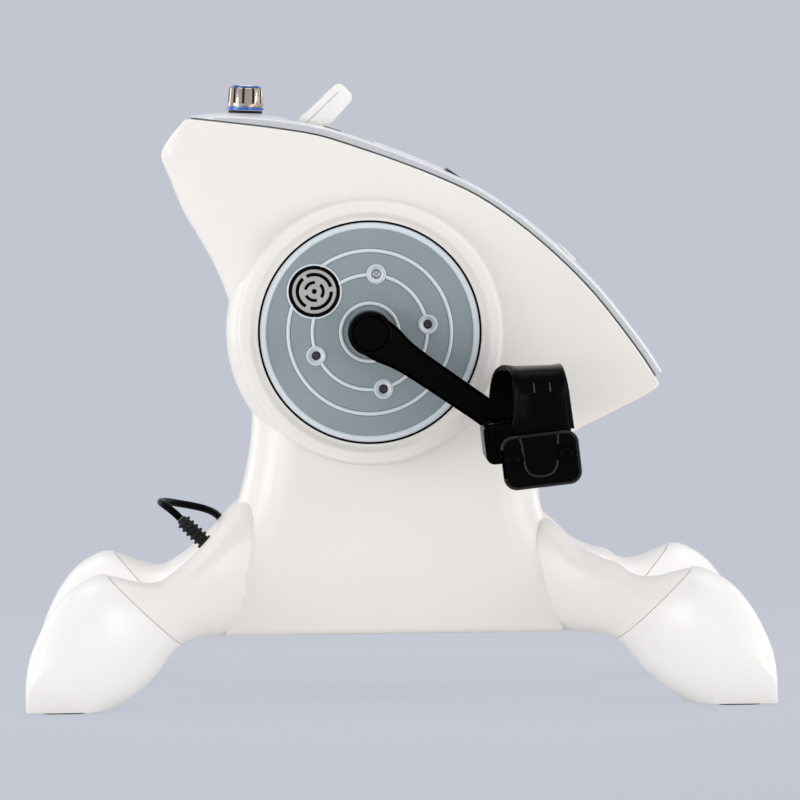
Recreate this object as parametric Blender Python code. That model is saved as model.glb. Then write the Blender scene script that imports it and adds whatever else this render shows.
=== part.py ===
"""Motorised pedal trainer, built from its separate pieces.

Metres, +Z up, the floor at Z = 0. +X points at the person who pedals, and the trainer's
middle plane is Y = 0. "near" is the -Y side and "far" the +Y side.
"""
import math

import bmesh
import bpy
from mathutils import Matrix, Vector

for old in list(bpy.data.objects):
    bpy.data.objects.remove(old, do_unlink=True)

# Driving dimensions
MM = 0.001
GAP = 0.3 * MM  # between pieces that rest on each other
RUN = 0.6 * MM  # round pieces that turn in each other
WALL = 3.0 * MM  # moulded shells
HALF_WIDTH = 72 * MM  # middle plane to the flat side of the body
BASE_Z = 46 * MM  # underside of the body

# Main axle and drum
AXLE_X = -18 * MM
AXLE_Z = 263 * MM
DRUM_R = 104 * MM
RING_R = 93 * MM  # crest of the raised ring round the disc
RING_RISE = 12.5 * MM  # crest above the flat side
DISC_R = 78.6 * MM
DISC_SLOT = 1.5 * MM  # dark gap round the disc
LEDGE_DEPTH = 1.0 * MM  # seat of the disc, below the flat side
LEDGE_WIDTH = 9 * MM
DISC_HEIGHT = 7.6 * MM  # seat to the disc's rim
DISC_PLATE = 2.6 * MM
DISC_RIM = 4.2 * MM
HUB_RING_R = 21.9 * MM
HUB_HOLE_R = 15.5 * MM
LINE_RING_RADII = (41 * MM, 58.4 * MM)  # raised lines on the disc
LINE_RING_WIDTH = 2.4 * MM
LINE_RING_RISE = 0.9 * MM
SCREW_CIRCLE_R = 41.8 * MM
SCREW_ANGLES = (83, 7, -77, -157)
SCREW_BOSS_R = 7.0 * MM
SCREW_HOLE_R = 3.6 * MM
VENT_CIRCLE_R = 49.2 * MM
VENT_ANGLE = 143
VENT_R = 19.8 * MM
VENT_RIM = 1.6 * MM
VENT_MOAT = 2.6 * MM

# Drive train
SHAFT_R = 8 * MM
CRANK_LENGTH = 118 * MM
CRANK_ANGLE = 35  # degrees below +X at rest
CRANK_BOSS_R = 15.9 * MM
CRANK_TIP_R = 12 * MM
CRANK_THICK = 14 * MM
CRANK_BOSS_DEPTH = 30 * MM
CRANK_FROM_DISC = 4 * MM
CRANK_CAP_R = 12.1 * MM
CRANK_CAP_THICK = 3 * MM
BEARING_R = 15 * MM
BEARING_WIDTH = 9 * MM
SIDE_PLATE_Y = 42 * MM
PLATE_THICK = 4 * MM
PULLEY_R = 58 * MM
PULLEY_WIDTH = 12 * MM
PULLEY_Y = 26 * MM
PULLEY_FLANGE = 3 * MM
BELT_THICK = 2.4 * MM
MOTOR_PULLEY_R = 14 * MM
MOTOR_X = -52 * MM
MOTOR_Z = 128 * MM
MOTOR_R = 31 * MM
MOTOR_LENGTH = 52 * MM
MOTOR_SHAFT_R = 4 * MM
BASE_PLATE_REAR = -100 * MM
BASE_PLATE_FRONT = 96 * MM
BASE_PLATE_MARGIN = 20 * MM  # beyond the side plates
SIDE_PLATE_HALF_FOOT = 62 * MM
BOARDS_HALF_WIDTH = 50 * MM
CONTROL_BOARD_REAR = 52 * MM
CONTROL_BOARD_FRONT = 92 * MM
CONTROL_BOARD_HEIGHT = 14 * MM
SUPPLY_REAR = -98 * MM
SUPPLY_FRONT = -82 * MM
SUPPLY_HEIGHT = 30 * MM

# Pedals
SPINDLE_R = 5 * MM
PEDAL_GAP = 4 * MM  # crank to pedal body
PEDAL_LENGTH = 84 * MM
PEDAL_REAR = -20 * MM  # the tread's ends, top and underside, from its spindle
PEDAL_FRONT = 41 * MM
PEDAL_TOP = 7.5 * MM
PEDAL_BOTTOM = -21 * MM
END_PLATE_THICK = 7 * MM
END_PLATE_X = 17.7 * MM  # centre of the outer plate, from the spindle
END_PLATE_Z = -21.3 * MM
END_PLATE_HALF_WIDTH = 27.5 * MM
END_PLATE_HALF_HEIGHT = 19 * MM
STRAP_THICK = 3.0 * MM
PEDAL_SCREW_R = 5.6 * MM
SCREW_SHANK_R = 2 * MM
SCREW_SHANK = 5.5 * MM
PEDAL_SCREW_SPREAD = 18.8 * MM
PEDAL_SCREW_X = 16.7 * MM
PEDAL_SCREW_Z = -18.5 * MM
PEDAL_TILTS = {"near": -6, "far": -29}  # degrees about +Y at rest
# Strap from the crank side over the foot: part of the way outwards, then up, rear edge, front edge in mm
STRAP_LINE = [
    (0.0, 9.3, -12, 37), (0.0, 19, -11.5, 38.5), (0.02, 29, -9.5, 40), (0.10, 37, -6.5, 40.5), (0.25, 41, -2.5, 40.5),
    (0.46, 42, 1, 40.5), (0.72, 42, 3.4, 41), (0.89, 39.5, 4.2, 41.6), (0.97, 34, 4.2, 42.3), (1.0, 26, 4, 42.8),
    (1.0, 16, 3, 43), (1.0, 6, 0.3, 43.2), (1.0, -2, -5, 43.5),
]

# Console
COVER_HALF_WIDTH = 70 * MM
COVER_CROWN = 2.6 * MM
KNOB_X = -105 * MM
KNOB_R = 13 * MM
KNOB_HEIGHT = 18 * MM
KNOB_RING = 2 * MM
KNOB_STEM_R = 3 * MM
GASKET_THICK = 2 * MM
POT_R = 9 * MM
POT_DEPTH = 9 * MM
DISPLAY_X = 66 * MM
DISPLAY_LENGTH = 62 * MM
DISPLAY_WIDTH = 88 * MM
DISPLAY_THICK = 2.4 * MM
DISPLAY_SINK = 5.0 * MM
BOARD_THICK = 1.8 * MM
BUTTON_X = 126 * MM
BUTTON_R = 8 * MM
BUTTON_SPREAD = 30 * MM
BUTTON_RISE = 2.2 * MM
BUTTON_TRAVEL = 1.2 * MM
BUTTON_FLANGE = 1.6 * MM

# Carrying handle
HANDLE_X = -62 * MM
HANDLE_ANGLE = 47  # degrees above +X at rest
HANDLE_LENGTH = 47 * MM
HANDLE_HEEL = 5 * MM
HANDLE_HALF_WIDTH = 48 * MM
HANDLE_ARM = 13 * MM
HANDLE_GRIP = 15 * MM
HANDLE_THICK = 18 * MM
HANDLE_TOP_SHELL = 6 * MM
HANDLE_PIN_R = 2.5 * MM
HANDLE_PIN_DEPTH = 9.5 * MM
TRAY_WALL = 2.2 * MM
TRAY_REAR = 14 * MM
TRAY_FRONT = HANDLE_LENGTH + 4 * MM
TRAY_DEPTH = HANDLE_THICK + 2.5 * MM

# Feet
CAP_BOTTOM_Z = 1.0 * MM
PAD_DEPTH = 3.0 * MM
SEAM_X = 186 * MM  # seam of the foot caps, on both sides
SEAM_Z = 74 * MM
SEAM_LEAN = 45.5
SCOOP_OUT = 106 * MM  # hollow facet low on a cap: from the flat side, height, and its way up and out
SCOOP_Z = 22 * MM
SCOOP_WAY = Vector((0, 0.93, -0.36))
PAD_X = 238 * MM
PAD_OUT = 81 * MM  # from the flat side
PAD_LENGTH = 30 * MM
PAD_WIDTH = 28 * MM

# Mains lead
CORD_R = 2.75 * MM
RELIEF_LENGTH = 37 * MM
RELIEF_NECK_R = 6.6 * MM
RELIEF_FLANGE = 2.2 * MM
RELIEF_FLANGE_THICK = 1.6 * MM
RELIEF_RIBS = 8
RELIEF_SLOPE = 3  # the stretch of BACK_LINE that holds it
COIL_X = -214 * MM
COIL_OUT = 174 * MM  # from the flat side
COIL_MEAN_R = 30 * MM
COIL_TURNS = 2.5  # in each of its two layers
COIL_GAP = 1.3 * MM

# Top of the console along the middle plane: X, Z and the depth of the cover, in mm
TOP_LINE = [
    (-144, 419.5, 2.5), (-123, 421, 6.5), (-102, 420, 8), (-80, 417, 8.5), (-51, 410.5, 8.5),
    (-22, 401.5, 8.5), (7, 390.5, 8), (35, 378, 7.5), (64, 362, 7), (93, 342, 7),
    (122, 317, 7), (150, 287, 7.5), (179, 251, 8), (193, 231, 8),
]
# Front of the body from the nose down, then the back from the floor up: X, Z and edge rounding, in mm
FRONT_LINE = [
    (192, 217, 10), (170, 209, 16), (149, 199, 22), (128, 188, 28), (112, 173, 33), (104, 155, 36),
    (104, 138, 36), (111, 118, 34), (121, 99, 30), (127, 80, 24), (125, 60, 14), (118, 46, 5),
]
BACK_LINE = [
    (-124, 46, 5), (-134, 60, 12), (-138, 80, 16), (-137, 93, 18), (-122, 108, 24), (-117, 124, 30), (-113, 141, 36),
    (-108, 161, 36), (-104, 185, 36), (-103, 212, 36), (-107, 245, 36), (-115, 275, 36),
    (-126, 306, 36), (-139, 331, 36), (-150, 350, 34), (-160, 375, 30), (-165.5, 391, 22),
    (-159, 404, 12), (-148, 416.5, 4),
]
# Sections of a foot, from inside the body to its tip: X, lowest Z, highest Z, then inner and outer edge
# measured outwards from the flat side, in mm
FOOT_SECTIONS = [
    (82, 47, 128, -62, -10), (104, 46.5, 143, -60, -2), (119, 45.5, 134, -58, 8),
    (133, 45, 118, -52, 20), (147, 44.5, 104, -40, 35), (160, 40, 94, -26, 51),
    (171, 28, 87.5, -12, 66), (185, 15.5, 88.5, 4, 81), (199, 6, 93, 18, 93),
    (212, -5, 96, 30, 101), (224, -13, 93, 40, 106), (236, -16, 86, 48, 109),
    (247, -16, 73, 54, 109), (255.5, -14, 57, 59, 107), (262, -10, 39, 65, 103),
    (264.5, -3, 22, 72, 96),
]
FOOT_SQUARENESS = 2.7
FRONT_LEG_DROP = 16  # mm by which the front legs' tops are lower beside the body, none at their caps
# Route of the lead in mm: behind the body, then over the foot with Y from the flat side
CORD_BEHIND = [
    (-166, 4.5, 135.6), (-169.5, 14, 137.6), (-169.5, 25.5, 138), (-165, 36.5, 137.2), (-157, 45.5, 135.3),
    (-147, 52.5, 133),
]
CORD_DROP = [
    (-137.5, -12, 130), (-130, -2, 125.5), (-125.5, 11, 118), (-124, 24, 108), (-125.5, 36.5, 96), (-130, 49, 81),
    (-140, 66, 62), (-154, 85, 42), (-167, 104, 24), (-175, 122, 10), (-177, 137, 3.6),
]
PLUG_HALF_WIDTH = 13 * MM
PLUG_HALF_THICK = 7 * MM
PLUG_LENGTH = 36 * MM
PLUG_PIN_R = 2.2 * MM
PLUG_PIN_LENGTH = 19 * MM
PLUG_PIN_SPREAD = 9 * MM


# Small tools
def material(name, colour, roughness, metallic=0.0):
    made = bpy.data.materials.new(name)
    made.use_nodes = True
    shader = made.node_tree.nodes["Principled BSDF"]
    shader.inputs["Base Color"].default_value = (*colour, 1)
    shader.inputs["Roughness"].default_value = roughness
    shader.inputs["Metallic"].default_value = metallic
    return made


WHITE = (0.86, 0.85, 0.83)
SILVER_BLUE = (0.58, 0.62, 0.68)
BLUE_GREY = (0.27, 0.33, 0.37)
BLACK = (0.012, 0.012, 0.013)
STEEL = (0.55, 0.56, 0.58)


def piece(name, mesh_source, colour, roughness=0.4, metallic=0.0, smooth=35):
    """A named object from a bmesh, which it frees."""
    bmesh.ops.recalc_face_normals(mesh_source, faces=mesh_source.faces)
    mesh = bpy.data.meshes.new(name)
    mesh_source.to_mesh(mesh)
    mesh_source.free()
    mesh.shade_smooth()
    mesh.set_sharp_from_angle(angle=math.radians(smooth))
    obj = bpy.data.objects.new(name, mesh)
    obj.data.materials.append(material(name, colour, roughness, metallic))
    bpy.context.scene.collection.objects.link(obj)
    return obj


def loft(rings, closed=False):
    """Faces between rings of equal length; the first and last are capped unless closed."""
    bm = bmesh.new()
    rows = [[bm.verts.new(point) for point in ring] for ring in rings]
    pairs = list(zip(rows, rows[1:]))
    if closed:
        pairs.append((rows[-1], rows[0]))
    else:
        bm.faces.new(rows[0])
        bm.faces.new(rows[-1][::-1])
    for low, high in pairs:
        for i in range(len(low)):
            j = (i + 1) % len(low)
            bm.faces.new((low[i], low[j], high[j], high[i]))
    bmesh.ops.recalc_face_normals(bm, faces=bm.faces)
    return bm


def turned(profile, steps=40, closed=False):
    """A profile of (radius, height) turned about local Z."""
    rings = []
    for radius, height in profile:
        turn = [math.tau * i / steps for i in range(steps)]
        rings.append([Vector((radius * math.cos(a), radius * math.sin(a), height)) for a in turn])
    return loft(rings, closed)


def slab(outline, low, high):
    """A flat outline of (x, y), given a thickness along local Z."""
    return loft([[Vector((x, y, z)) for x, y in outline] for z in (low, high)])


def rounded_box(x0, x1, y0, y1, radius, steps=4):
    """Outline of a rectangle with round corners."""
    outline = []
    corners = ((x1 - radius, y1 - radius, 0), (x0 + radius, y1 - radius, 90),
               (x0 + radius, y0 + radius, 180), (x1 - radius, y0 + radius, 270))
    for cx, cy, start in corners:
        for i in range(steps + 1):
            angle = math.radians(start + 90 * i / steps)
            outline.append((cx + radius * math.cos(angle), cy + radius * math.sin(angle)))
    return outline


def box(x0, x1, y0, y1, z0, z1):
    return slab([(x0, y0), (x1, y0), (x1, y1), (x0, y1)], z0, z1)


def moved(bm, matrix):
    bmesh.ops.transform(bm, matrix=matrix, verts=bm.verts)
    bmesh.ops.recalc_face_normals(bm, faces=bm.faces)
    return bm


def sideways(side, x=AXLE_X, z=AXLE_Z):
    """Local Z becomes outwards along Y on this side, from the middle plane; local Y becomes up."""
    out = Vector((0, side, 0))
    up = Vector((0, 0, 1))
    across = up.cross(out)
    rotation = Matrix((across, up, out)).transposed().to_4x4()
    return Matrix.Translation((x, 0, z)) @ rotation


def combine(bm, others, operation="DIFFERENCE"):
    """A Boolean of one bmesh with others, which it frees."""
    def as_object(source, label):
        mesh = bpy.data.meshes.new(label)
        source.to_mesh(mesh)
        source.free()
        made = bpy.data.objects.new(label, mesh)
        bpy.context.scene.collection.objects.link(made)
        return made

    target = as_object(bm, "target")
    for other in others:
        tool = as_object(other, "tool")
        modifier = target.modifiers.new("combine", "BOOLEAN")
        modifier.object = tool
        modifier.operation = operation
        modifier.solver = "EXACT"
        result = bpy.data.meshes.new_from_object(
            target.evaluated_get(bpy.context.evaluated_depsgraph_get()))
        target.modifiers.clear()
        target.data = result
        bpy.data.objects.remove(tool, do_unlink=True)
    joined = bmesh.new()
    joined.from_mesh(target.data)
    bpy.data.objects.remove(target, do_unlink=True)
    bmesh.ops.remove_doubles(joined, verts=joined.verts, dist=0.002 * MM)
    bmesh.ops.dissolve_degenerate(joined, dist=0.002 * MM, edges=joined.edges)
    return joined


def smooth_line(points, spans):
    """Points of any size read from a smooth curve through the given ones."""
    line = []
    count = len(points)
    for i in range(count - 1):
        before, start = points[max(i - 1, 0)], points[i]
        end, after = points[i + 1], points[min(i + 2, count - 1)]
        for step in range(spans):
            t = step / spans
            line.append(tuple(
                0.5 * (2 * b + (c - a) * t + (2 * a - 5 * b + 4 * c - d) * t * t
                       + (3 * b - a - 3 * c + d) * t ** 3)
                for a, b, c, d in zip(before, start, end, after)))
    line.append(tuple(points[-1]))
    return line


def outward(line, i):
    """Unit normal to the left of a line of (x, z) points."""
    x0, z0 = line[max(i - 1, 0)][:2]
    x1, z1 = line[min(i + 1, len(line) - 1)][:2]
    length = math.hypot(x1 - x0, z1 - z0)
    return (-(z1 - z0) / length, (x1 - x0) / length)


# Body outline
top_line = [tuple(v * MM for v in point) for point in TOP_LINE]


def seam_line(extra):
    """The lower face of the console cover, lowered by extra."""
    line = []
    for i, (x, z, depth) in enumerate(top_line):
        nx, nz = outward(top_line, i)
        line.append((x - nx * (depth + extra), z - nz * (depth + extra)))
    return line


def body_outline(inset=0.0, open_top=0.0):
    """Closed list of (x, z, rounding) clockwise from the rear end of the seam."""
    outline = [(x, z, 1.5 * MM) for x, z in seam_line(GAP)]
    outline += [tuple(v * MM for v in point) for point in FRONT_LINE + BACK_LINE]
    if not inset:
        return outline
    count = len(outline)
    top_count = len(top_line)
    rear, front = Vector(outline[0][:2]), Vector(outline[top_count - 1][:2])
    rear = rear + (Vector(outline[1][:2]) - rear).normalized() * inset
    front = front + (Vector(outline[top_count - 2][:2]) - front).normalized() * inset
    outline[0], outline[top_count - 1] = (*rear, 1.5 * MM), (*front, 1.5 * MM)
    smaller = []
    for i in range(count):
        x0, z0, _ = outline[i - 1]
        x, z, rounding = outline[i]
        x1, z1, _ = outline[(i + 1) % count]
        length = math.hypot(x1 - x0, z1 - z0)
        nx, nz = (z1 - z0) / length, -(x1 - x0) / length
        away = -open_top if i < top_count else inset
        smaller.append((x + nx * away, z + nz * away, max(rounding - inset, 0.5 * MM)))
    return smaller


def pillow(outline, half_width, start, steps=4):
    """An outline given a width along +Y from start, its outer edge rounded by each point's own radius."""
    count = len(outline)
    rings = [[Vector((x, start, z)) for x, z, _ in outline]]
    for step in range(steps + 1):
        angle = math.radians(90 * step / steps)
        ring = []
        for i in range(count):
            x0, z0, _ = outline[i - 1]
            x, z, rounding = outline[i]
            x1, z1, _ = outline[(i + 1) % count]
            length = math.hypot(x1 - x0, z1 - z0)
            nx, nz = (z1 - z0) / length, -(x1 - x0) / length
            away = rounding * (1 - math.cos(angle))
            depth = half_width - rounding * (1 - math.sin(angle))
            ring.append(Vector((x + nx * away, depth, z + nz * away)))
        rings.append(ring)
    return loft(rings)


def foot(fore, inset=0.0, steps=10):
    """A foot on the +Y side: fore is 1 in front and -1 behind. inset makes the space inside it."""
    rings = []
    for x, z0, z1, y0, y1 in FOOT_SECTIONS[::3 if inset else 1]:
        if fore > 0:
            z1 -= FRONT_LEG_DROP * min(max((157 - x) / 30, 0), 1)
        middle_y = HALF_WIDTH + (y0 + y1) / 2 * MM
        half_y = (y1 - y0) / 2 * MM - inset
        half_z = (z1 - z0) / 2 * MM - inset
        ring = []
        for i in range(steps):
            angle = math.tau * i / steps
            cos, sin = math.cos(angle), math.sin(angle)
            power = 2 / FOOT_SQUARENESS
            y = middle_y + math.copysign(abs(cos) ** power, cos) * half_y
            z = (z0 + z1) / 2 * MM + math.copysign(abs(sin) ** power, sin) * half_z
            ring.append(Vector((fore * x * MM, y, z)))
        rings.append(ring)
    if inset:
        while abs(rings[-1][0].x) > FOOT_SECTIONS[-1][0] * MM - inset:
            rings.pop()
    return loft(rings)


def trimmed(bm, point, normal):
    """Keeps what lies behind a plane, and closes the cut."""
    geometry = list(bm.verts) + list(bm.edges) + list(bm.faces)
    cut = bmesh.ops.bisect_plane(bm, geom=geometry, plane_co=point, plane_no=normal, clear_outer=True)
    edges = [item for item in cut["geom_cut"] if isinstance(item, bmesh.types.BMEdge)]
    bmesh.ops.contextual_create(bm, geom=edges)
    bmesh.ops.recalc_face_normals(bm, faces=bm.faces)
    return bm


def seam_plane(fore, shift=0.0):
    """Point and outward normal of the plane between a foot and its cap."""
    lean = math.radians(SEAM_LEAN)
    normal = Vector((fore * math.sin(lean), 0, -math.cos(lean)))
    return Vector((fore * SEAM_X, 0, SEAM_Z)) + normal * shift, normal


def to_side(bm, side):
    """Mirrors what was made on the +Y side when side is -1."""
    if side < 0:
        moved(bm, Matrix.Scale(-1, 4, (0, 1, 0)))
    return bm


# Shells
disc_seat = HALF_WIDTH - LEDGE_DEPTH
disc_well_r = DISC_R + DISC_SLOT


def drum(inset=0.0):
    crest = HALF_WIDTH + RING_RISE
    if inset:
        profile = [(DRUM_R - inset, -5 * MM), (DRUM_R - inset, 50 * MM), (DRUM_R - inset - 2 * MM, 60 * MM),
                   (disc_well_r + 6 * MM, disc_seat - WALL)]
    else:
        profile = [(DRUM_R, 0.5 * MM), (DRUM_R - 0.5 * MM, HALF_WIDTH - 12 * MM), (DRUM_R - 4.5 * MM, HALF_WIDTH - 2 * MM),
                   (RING_R + 2 * MM, crest - 3 * MM), (RING_R - 0.5 * MM, crest), (disc_well_r + 5 * MM, crest - 0.3 * MM),
                   (disc_well_r + 1 * MM, crest - 5 * MM), (disc_well_r - 2 * MM, crest - 5.5 * MM)]
    return moved(turned(profile, 18 if inset else 30), sideways(1))


def shell(side):
    body = pillow(body_outline(), HALF_WIDTH, GAP / 2)
    parts = [drum()]
    spaces = [pillow(body_outline(WALL, 8 * MM), HALF_WIDTH - WALL, -5 * MM, 2), drum(WALL)]
    for fore in (1, -1):
        parts.append(trimmed(foot(fore), *seam_plane(fore, -GAP)))
        spaces.append(trimmed(foot(fore, WALL, 8), *seam_plane(fore, 4 * MM)))
    body = combine(body, parts, "UNION")
    well = turned([(disc_well_r, disc_seat), (disc_well_r, HALF_WIDTH + RING_RISE + 5 * MM)], 36)
    spaces.append(moved(well, sideways(1)))
    middle = turned([(disc_well_r - LEDGE_WIDTH, disc_seat - 8 * MM), (disc_well_r - LEDGE_WIDTH, disc_seat + 8 * MM)], 24)
    spaces.append(moved(middle, sideways(1)))
    spaces.append(moved(turned([(relief_bore_r, -9 * MM), (relief_bore_r, 6 * MM)], 16), relief_frame()))
    return to_side(combine(body, spaces), side)


def foot_cap(fore, side):
    point, normal = seam_plane(fore)
    cap = trimmed(foot(fore), point, -normal)
    cap = trimmed(cap, Vector((0, 0, CAP_BOTTOM_Z)), Vector((0, 0, -1)))
    scoop = Vector((0, HALF_WIDTH + SCOOP_OUT, SCOOP_Z))
    cap = trimmed(cap, scoop, SCOOP_WAY)
    space = trimmed(foot(fore, WALL), Vector((0, 0, CAP_BOTTOM_Z + PAD_DEPTH + WALL)), Vector((0, 0, -1)))
    space = trimmed(space, scoop - SCOOP_WAY.normalized() * WALL, SCOOP_WAY)
    space = trimmed(space, point - normal * 6 * MM, -normal)
    cap = combine(cap, [space, pad_block(fore, 0.0)])
    return to_side(cap, side)



def pad_block(fore, gap):
    """The rubber pad under a foot, or without a gap the pocket that it sits in."""
    x, y = PAD_X, HALF_WIDTH + PAD_OUT
    half_x, half_y = PAD_LENGTH / 2 - gap, PAD_WIDTH / 2 - gap
    outline = rounded_box(fore * x - half_x, fore * x + half_x, y - half_y, y + half_y, 6 * MM, 2)
    low = 0.0 if gap else -5 * MM
    return slab(outline, low, CAP_BOTTOM_Z + PAD_DEPTH - gap)


# Mains lead
slope_low, slope_high = BACK_LINE[RELIEF_SLOPE:RELIEF_SLOPE + 2]
relief_base = Vector((slope_low[0] + slope_high[0], 0, slope_low[1] + slope_high[1])) / 2 * MM
relief_way = Vector((slope_low[1] - slope_high[1], 0, slope_high[0] - slope_low[0])).normalized()
relief_bore_r = RELIEF_NECK_R + GAP


def relief_frame():
    """Local Z runs out of the back wall along the strain relief."""
    return Matrix.Translation(relief_base) @ relief_way.to_track_quat("Z", "Y").to_matrix().to_4x4()


def strain_relief():
    """Held in the wall between two flanges, with ribs that shrink towards the lead."""
    flange_r = RELIEF_NECK_R + RELIEF_FLANGE
    inside = -WALL - GAP
    profile = [(flange_r, inside - RELIEF_FLANGE_THICK), (flange_r, inside), (RELIEF_NECK_R, inside),
               (RELIEF_NECK_R, GAP), (flange_r, GAP), (flange_r, GAP + RELIEF_FLANGE_THICK)]
    start = GAP + RELIEF_FLANGE_THICK + 0.4 * MM
    end = RELIEF_LENGTH - 2 * CORD_R
    pitch = (end - start) / RELIEF_RIBS
    for rib in range(RELIEF_RIBS):
        share = rib / (RELIEF_RIBS - 1)
        radius = (RELIEF_NECK_R - 0.4 * MM) * (1 - share) + (CORD_R + 1.9 * MM) * share
        low = start + rib * pitch
        profile += [(radius - 1.4 * MM, low + 0.1 * pitch), (radius, low + 0.55 * pitch)]
    profile += [(CORD_R + 0.8 * MM, end), (CORD_R + 0.5 * MM, RELIEF_LENGTH)]
    return moved(turned(profile, 10), relief_frame())


def tube(name, points, radius, resolution):
    """A round cord along a list of points."""
    curve = bpy.data.curves.new(name, "CURVE")
    curve.dimensions = "3D"
    curve.bevel_depth = radius
    curve.bevel_resolution = resolution
    curve.use_fill_caps = True
    spline = curve.splines.new("POLY")
    spline.points.add(len(points) - 1)
    for target, point in zip(spline.points, points):
        target.co = (*point, 1)
    obj = bpy.data.objects.new(name, curve)
    obj.data.materials.append(material(name, BLACK, 0.35))
    bpy.context.scene.collection.objects.link(obj)
    return obj


def even_steps(line, step):
    """Points a step apart along a line."""
    lengths = [0.0]
    for a, b in zip(line, line[1:]):
        lengths.append(lengths[-1] + (Vector(b) - Vector(a)).length)
    count = max(2, round(lengths[-1] / step))
    points = []
    at = 0
    for i in range(count + 1):
        goal = lengths[-1] * i / count
        while at < len(line) - 2 and lengths[at + 1] < goal:
            at += 1
        span = lengths[at + 1] - lengths[at]
        points.append(Vector(line[at]).lerp(Vector(line[at + 1]), (goal - lengths[at]) / span))
    return points


coil_pitch = 2 * CORD_R + COIL_GAP


def coil_points():
    """Two layers: the lower one spirals in, the upper one out again."""
    per_turn = 24
    reach = COIL_TURNS * coil_pitch / 2
    spiral = round(COIL_TURNS * per_turn)
    climb = per_turn // 2
    floor = CORD_R + 0.1 * MM
    points = []
    for i in range(2 * spiral + climb + 1):
        angle = math.tau * i / per_turn
        if i <= spiral:
            t, rise = i / spiral, 0.0
        elif i <= spiral + climb:
            t, rise = 1.0, (i - spiral) / climb
        else:
            t, rise = 1 - (i - spiral - climb) / spiral, 1.0
        radius = COIL_MEAN_R + reach - 2 * reach * t
        height = floor + rise * coil_pitch
        points.append(Vector((COIL_X + radius * math.cos(angle), HALF_WIDTH + COIL_OUT + radius * math.sin(angle), height)))
    ends = []
    for end, inner in ((points[0], points[1]), (points[-1], points[-2])):
        along = (end - inner).normalized()
        flat = Vector((along.x, along.y, 0)).normalized()
        ends.append((end, flat))
    straight = 2 * CORD_R
    return [ends[0][0] + ends[0][1] * straight] + points + [ends[1][0] + ends[1][1] * straight], ends


# Cranks, pedals
def crank_end(side):
    angle = math.radians(-CRANK_ANGLE if side < 0 else 180 - CRANK_ANGLE)
    return AXLE_X + CRANK_LENGTH * math.cos(angle), AXLE_Z + CRANK_LENGTH * math.sin(angle)


crank_back = disc_seat + DISC_HEIGHT + CRANK_FROM_DISC
crank_front = crank_back + CRANK_BOSS_DEPTH
arm_back = crank_front - CRANK_THICK
pedal_start = crank_front + PEDAL_GAP
pedal_end = pedal_start + PEDAL_LENGTH


def crank_arm(side):
    """Boss, arm and tip, laid along local +X and turned to the arm's direction."""
    boss = turned([(CRANK_BOSS_R, crank_back), (CRANK_BOSS_R, crank_front - 1.5 * MM),
                   (CRANK_BOSS_R - 1.5 * MM, crank_front)], 20)
    outline = []
    for i in range(7):
        angle = math.radians(-90 + 180 * i / 6)
        outline.append((CRANK_LENGTH + CRANK_TIP_R * math.cos(angle), CRANK_TIP_R * math.sin(angle)))
    waist = CRANK_TIP_R - 2.4 * MM
    outline += [(CRANK_LENGTH - 16 * MM, waist), (34 * MM, waist + 1 * MM), (22 * MM, waist + 2.8 * MM),
                (12 * MM, CRANK_BOSS_R - 2.5 * MM), (4 * MM, CRANK_BOSS_R - 1 * MM)]
    outline += [(x, -y) for x, y in outline[:6:-1]]
    bevel = 1.2 * MM
    middle = sum(x for x, _ in outline) / len(outline)
    smaller = [(middle + (x - middle) * 0.99, y * 0.9) for x, y in outline]
    rings = [(smaller, arm_back), (outline, arm_back + bevel), (outline, crank_front - bevel - 0.2 * MM),
             (smaller, crank_front - 0.2 * MM)]
    arm = loft([[Vector((x, y, z)) for x, y in ring] for ring, z in rings])
    bore = turned([(SHAFT_R + GAP, crank_back - 5 * MM), (SHAFT_R + GAP, crank_front - CRANK_CAP_THICK)], 20)
    socket = turned([(CRANK_CAP_R + GAP, crank_front - CRANK_CAP_THICK - GAP),
                     (CRANK_CAP_R + GAP, crank_front + 5 * MM)], 20)
    eye = moved(turned([(SPINDLE_R + GAP, arm_back - 5 * MM), (SPINDLE_R + GAP, crank_front + 5 * MM)], 16),
                Matrix.Translation((CRANK_LENGTH, 0, 0)))
    made = combine(combine(boss, [arm], "UNION"), [bore, socket, eye])
    return moved(made, sideways(side) @ crank_turn(side))


def crank_turn(side):
    """Turns local +X to the crank's direction, seen from outside on this side."""
    x, z = crank_end(side)
    across = (sideways(side).to_3x3().inverted() @ Vector((x - AXLE_X, 0, z - AXLE_Z)))
    return Matrix.Rotation(math.atan2(across.y, across.x), 4, "Z")


def pedal_frame(name, side):
    """Local X along the tread, Y up from it and Z outwards; turned by the pedal's own angle."""
    x, z = crank_end(side)
    out = Vector((0, side, 0))
    tilt = Matrix.Rotation(math.radians(PEDAL_TILTS[name]), 3, "Y")
    tread, up = tilt @ Vector((1, 0, 0)), tilt @ Vector((0, 0, 1))
    return Matrix.Translation((x, 0, z)) @ Matrix((tread, up, out)).transposed().to_4x4()


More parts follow.
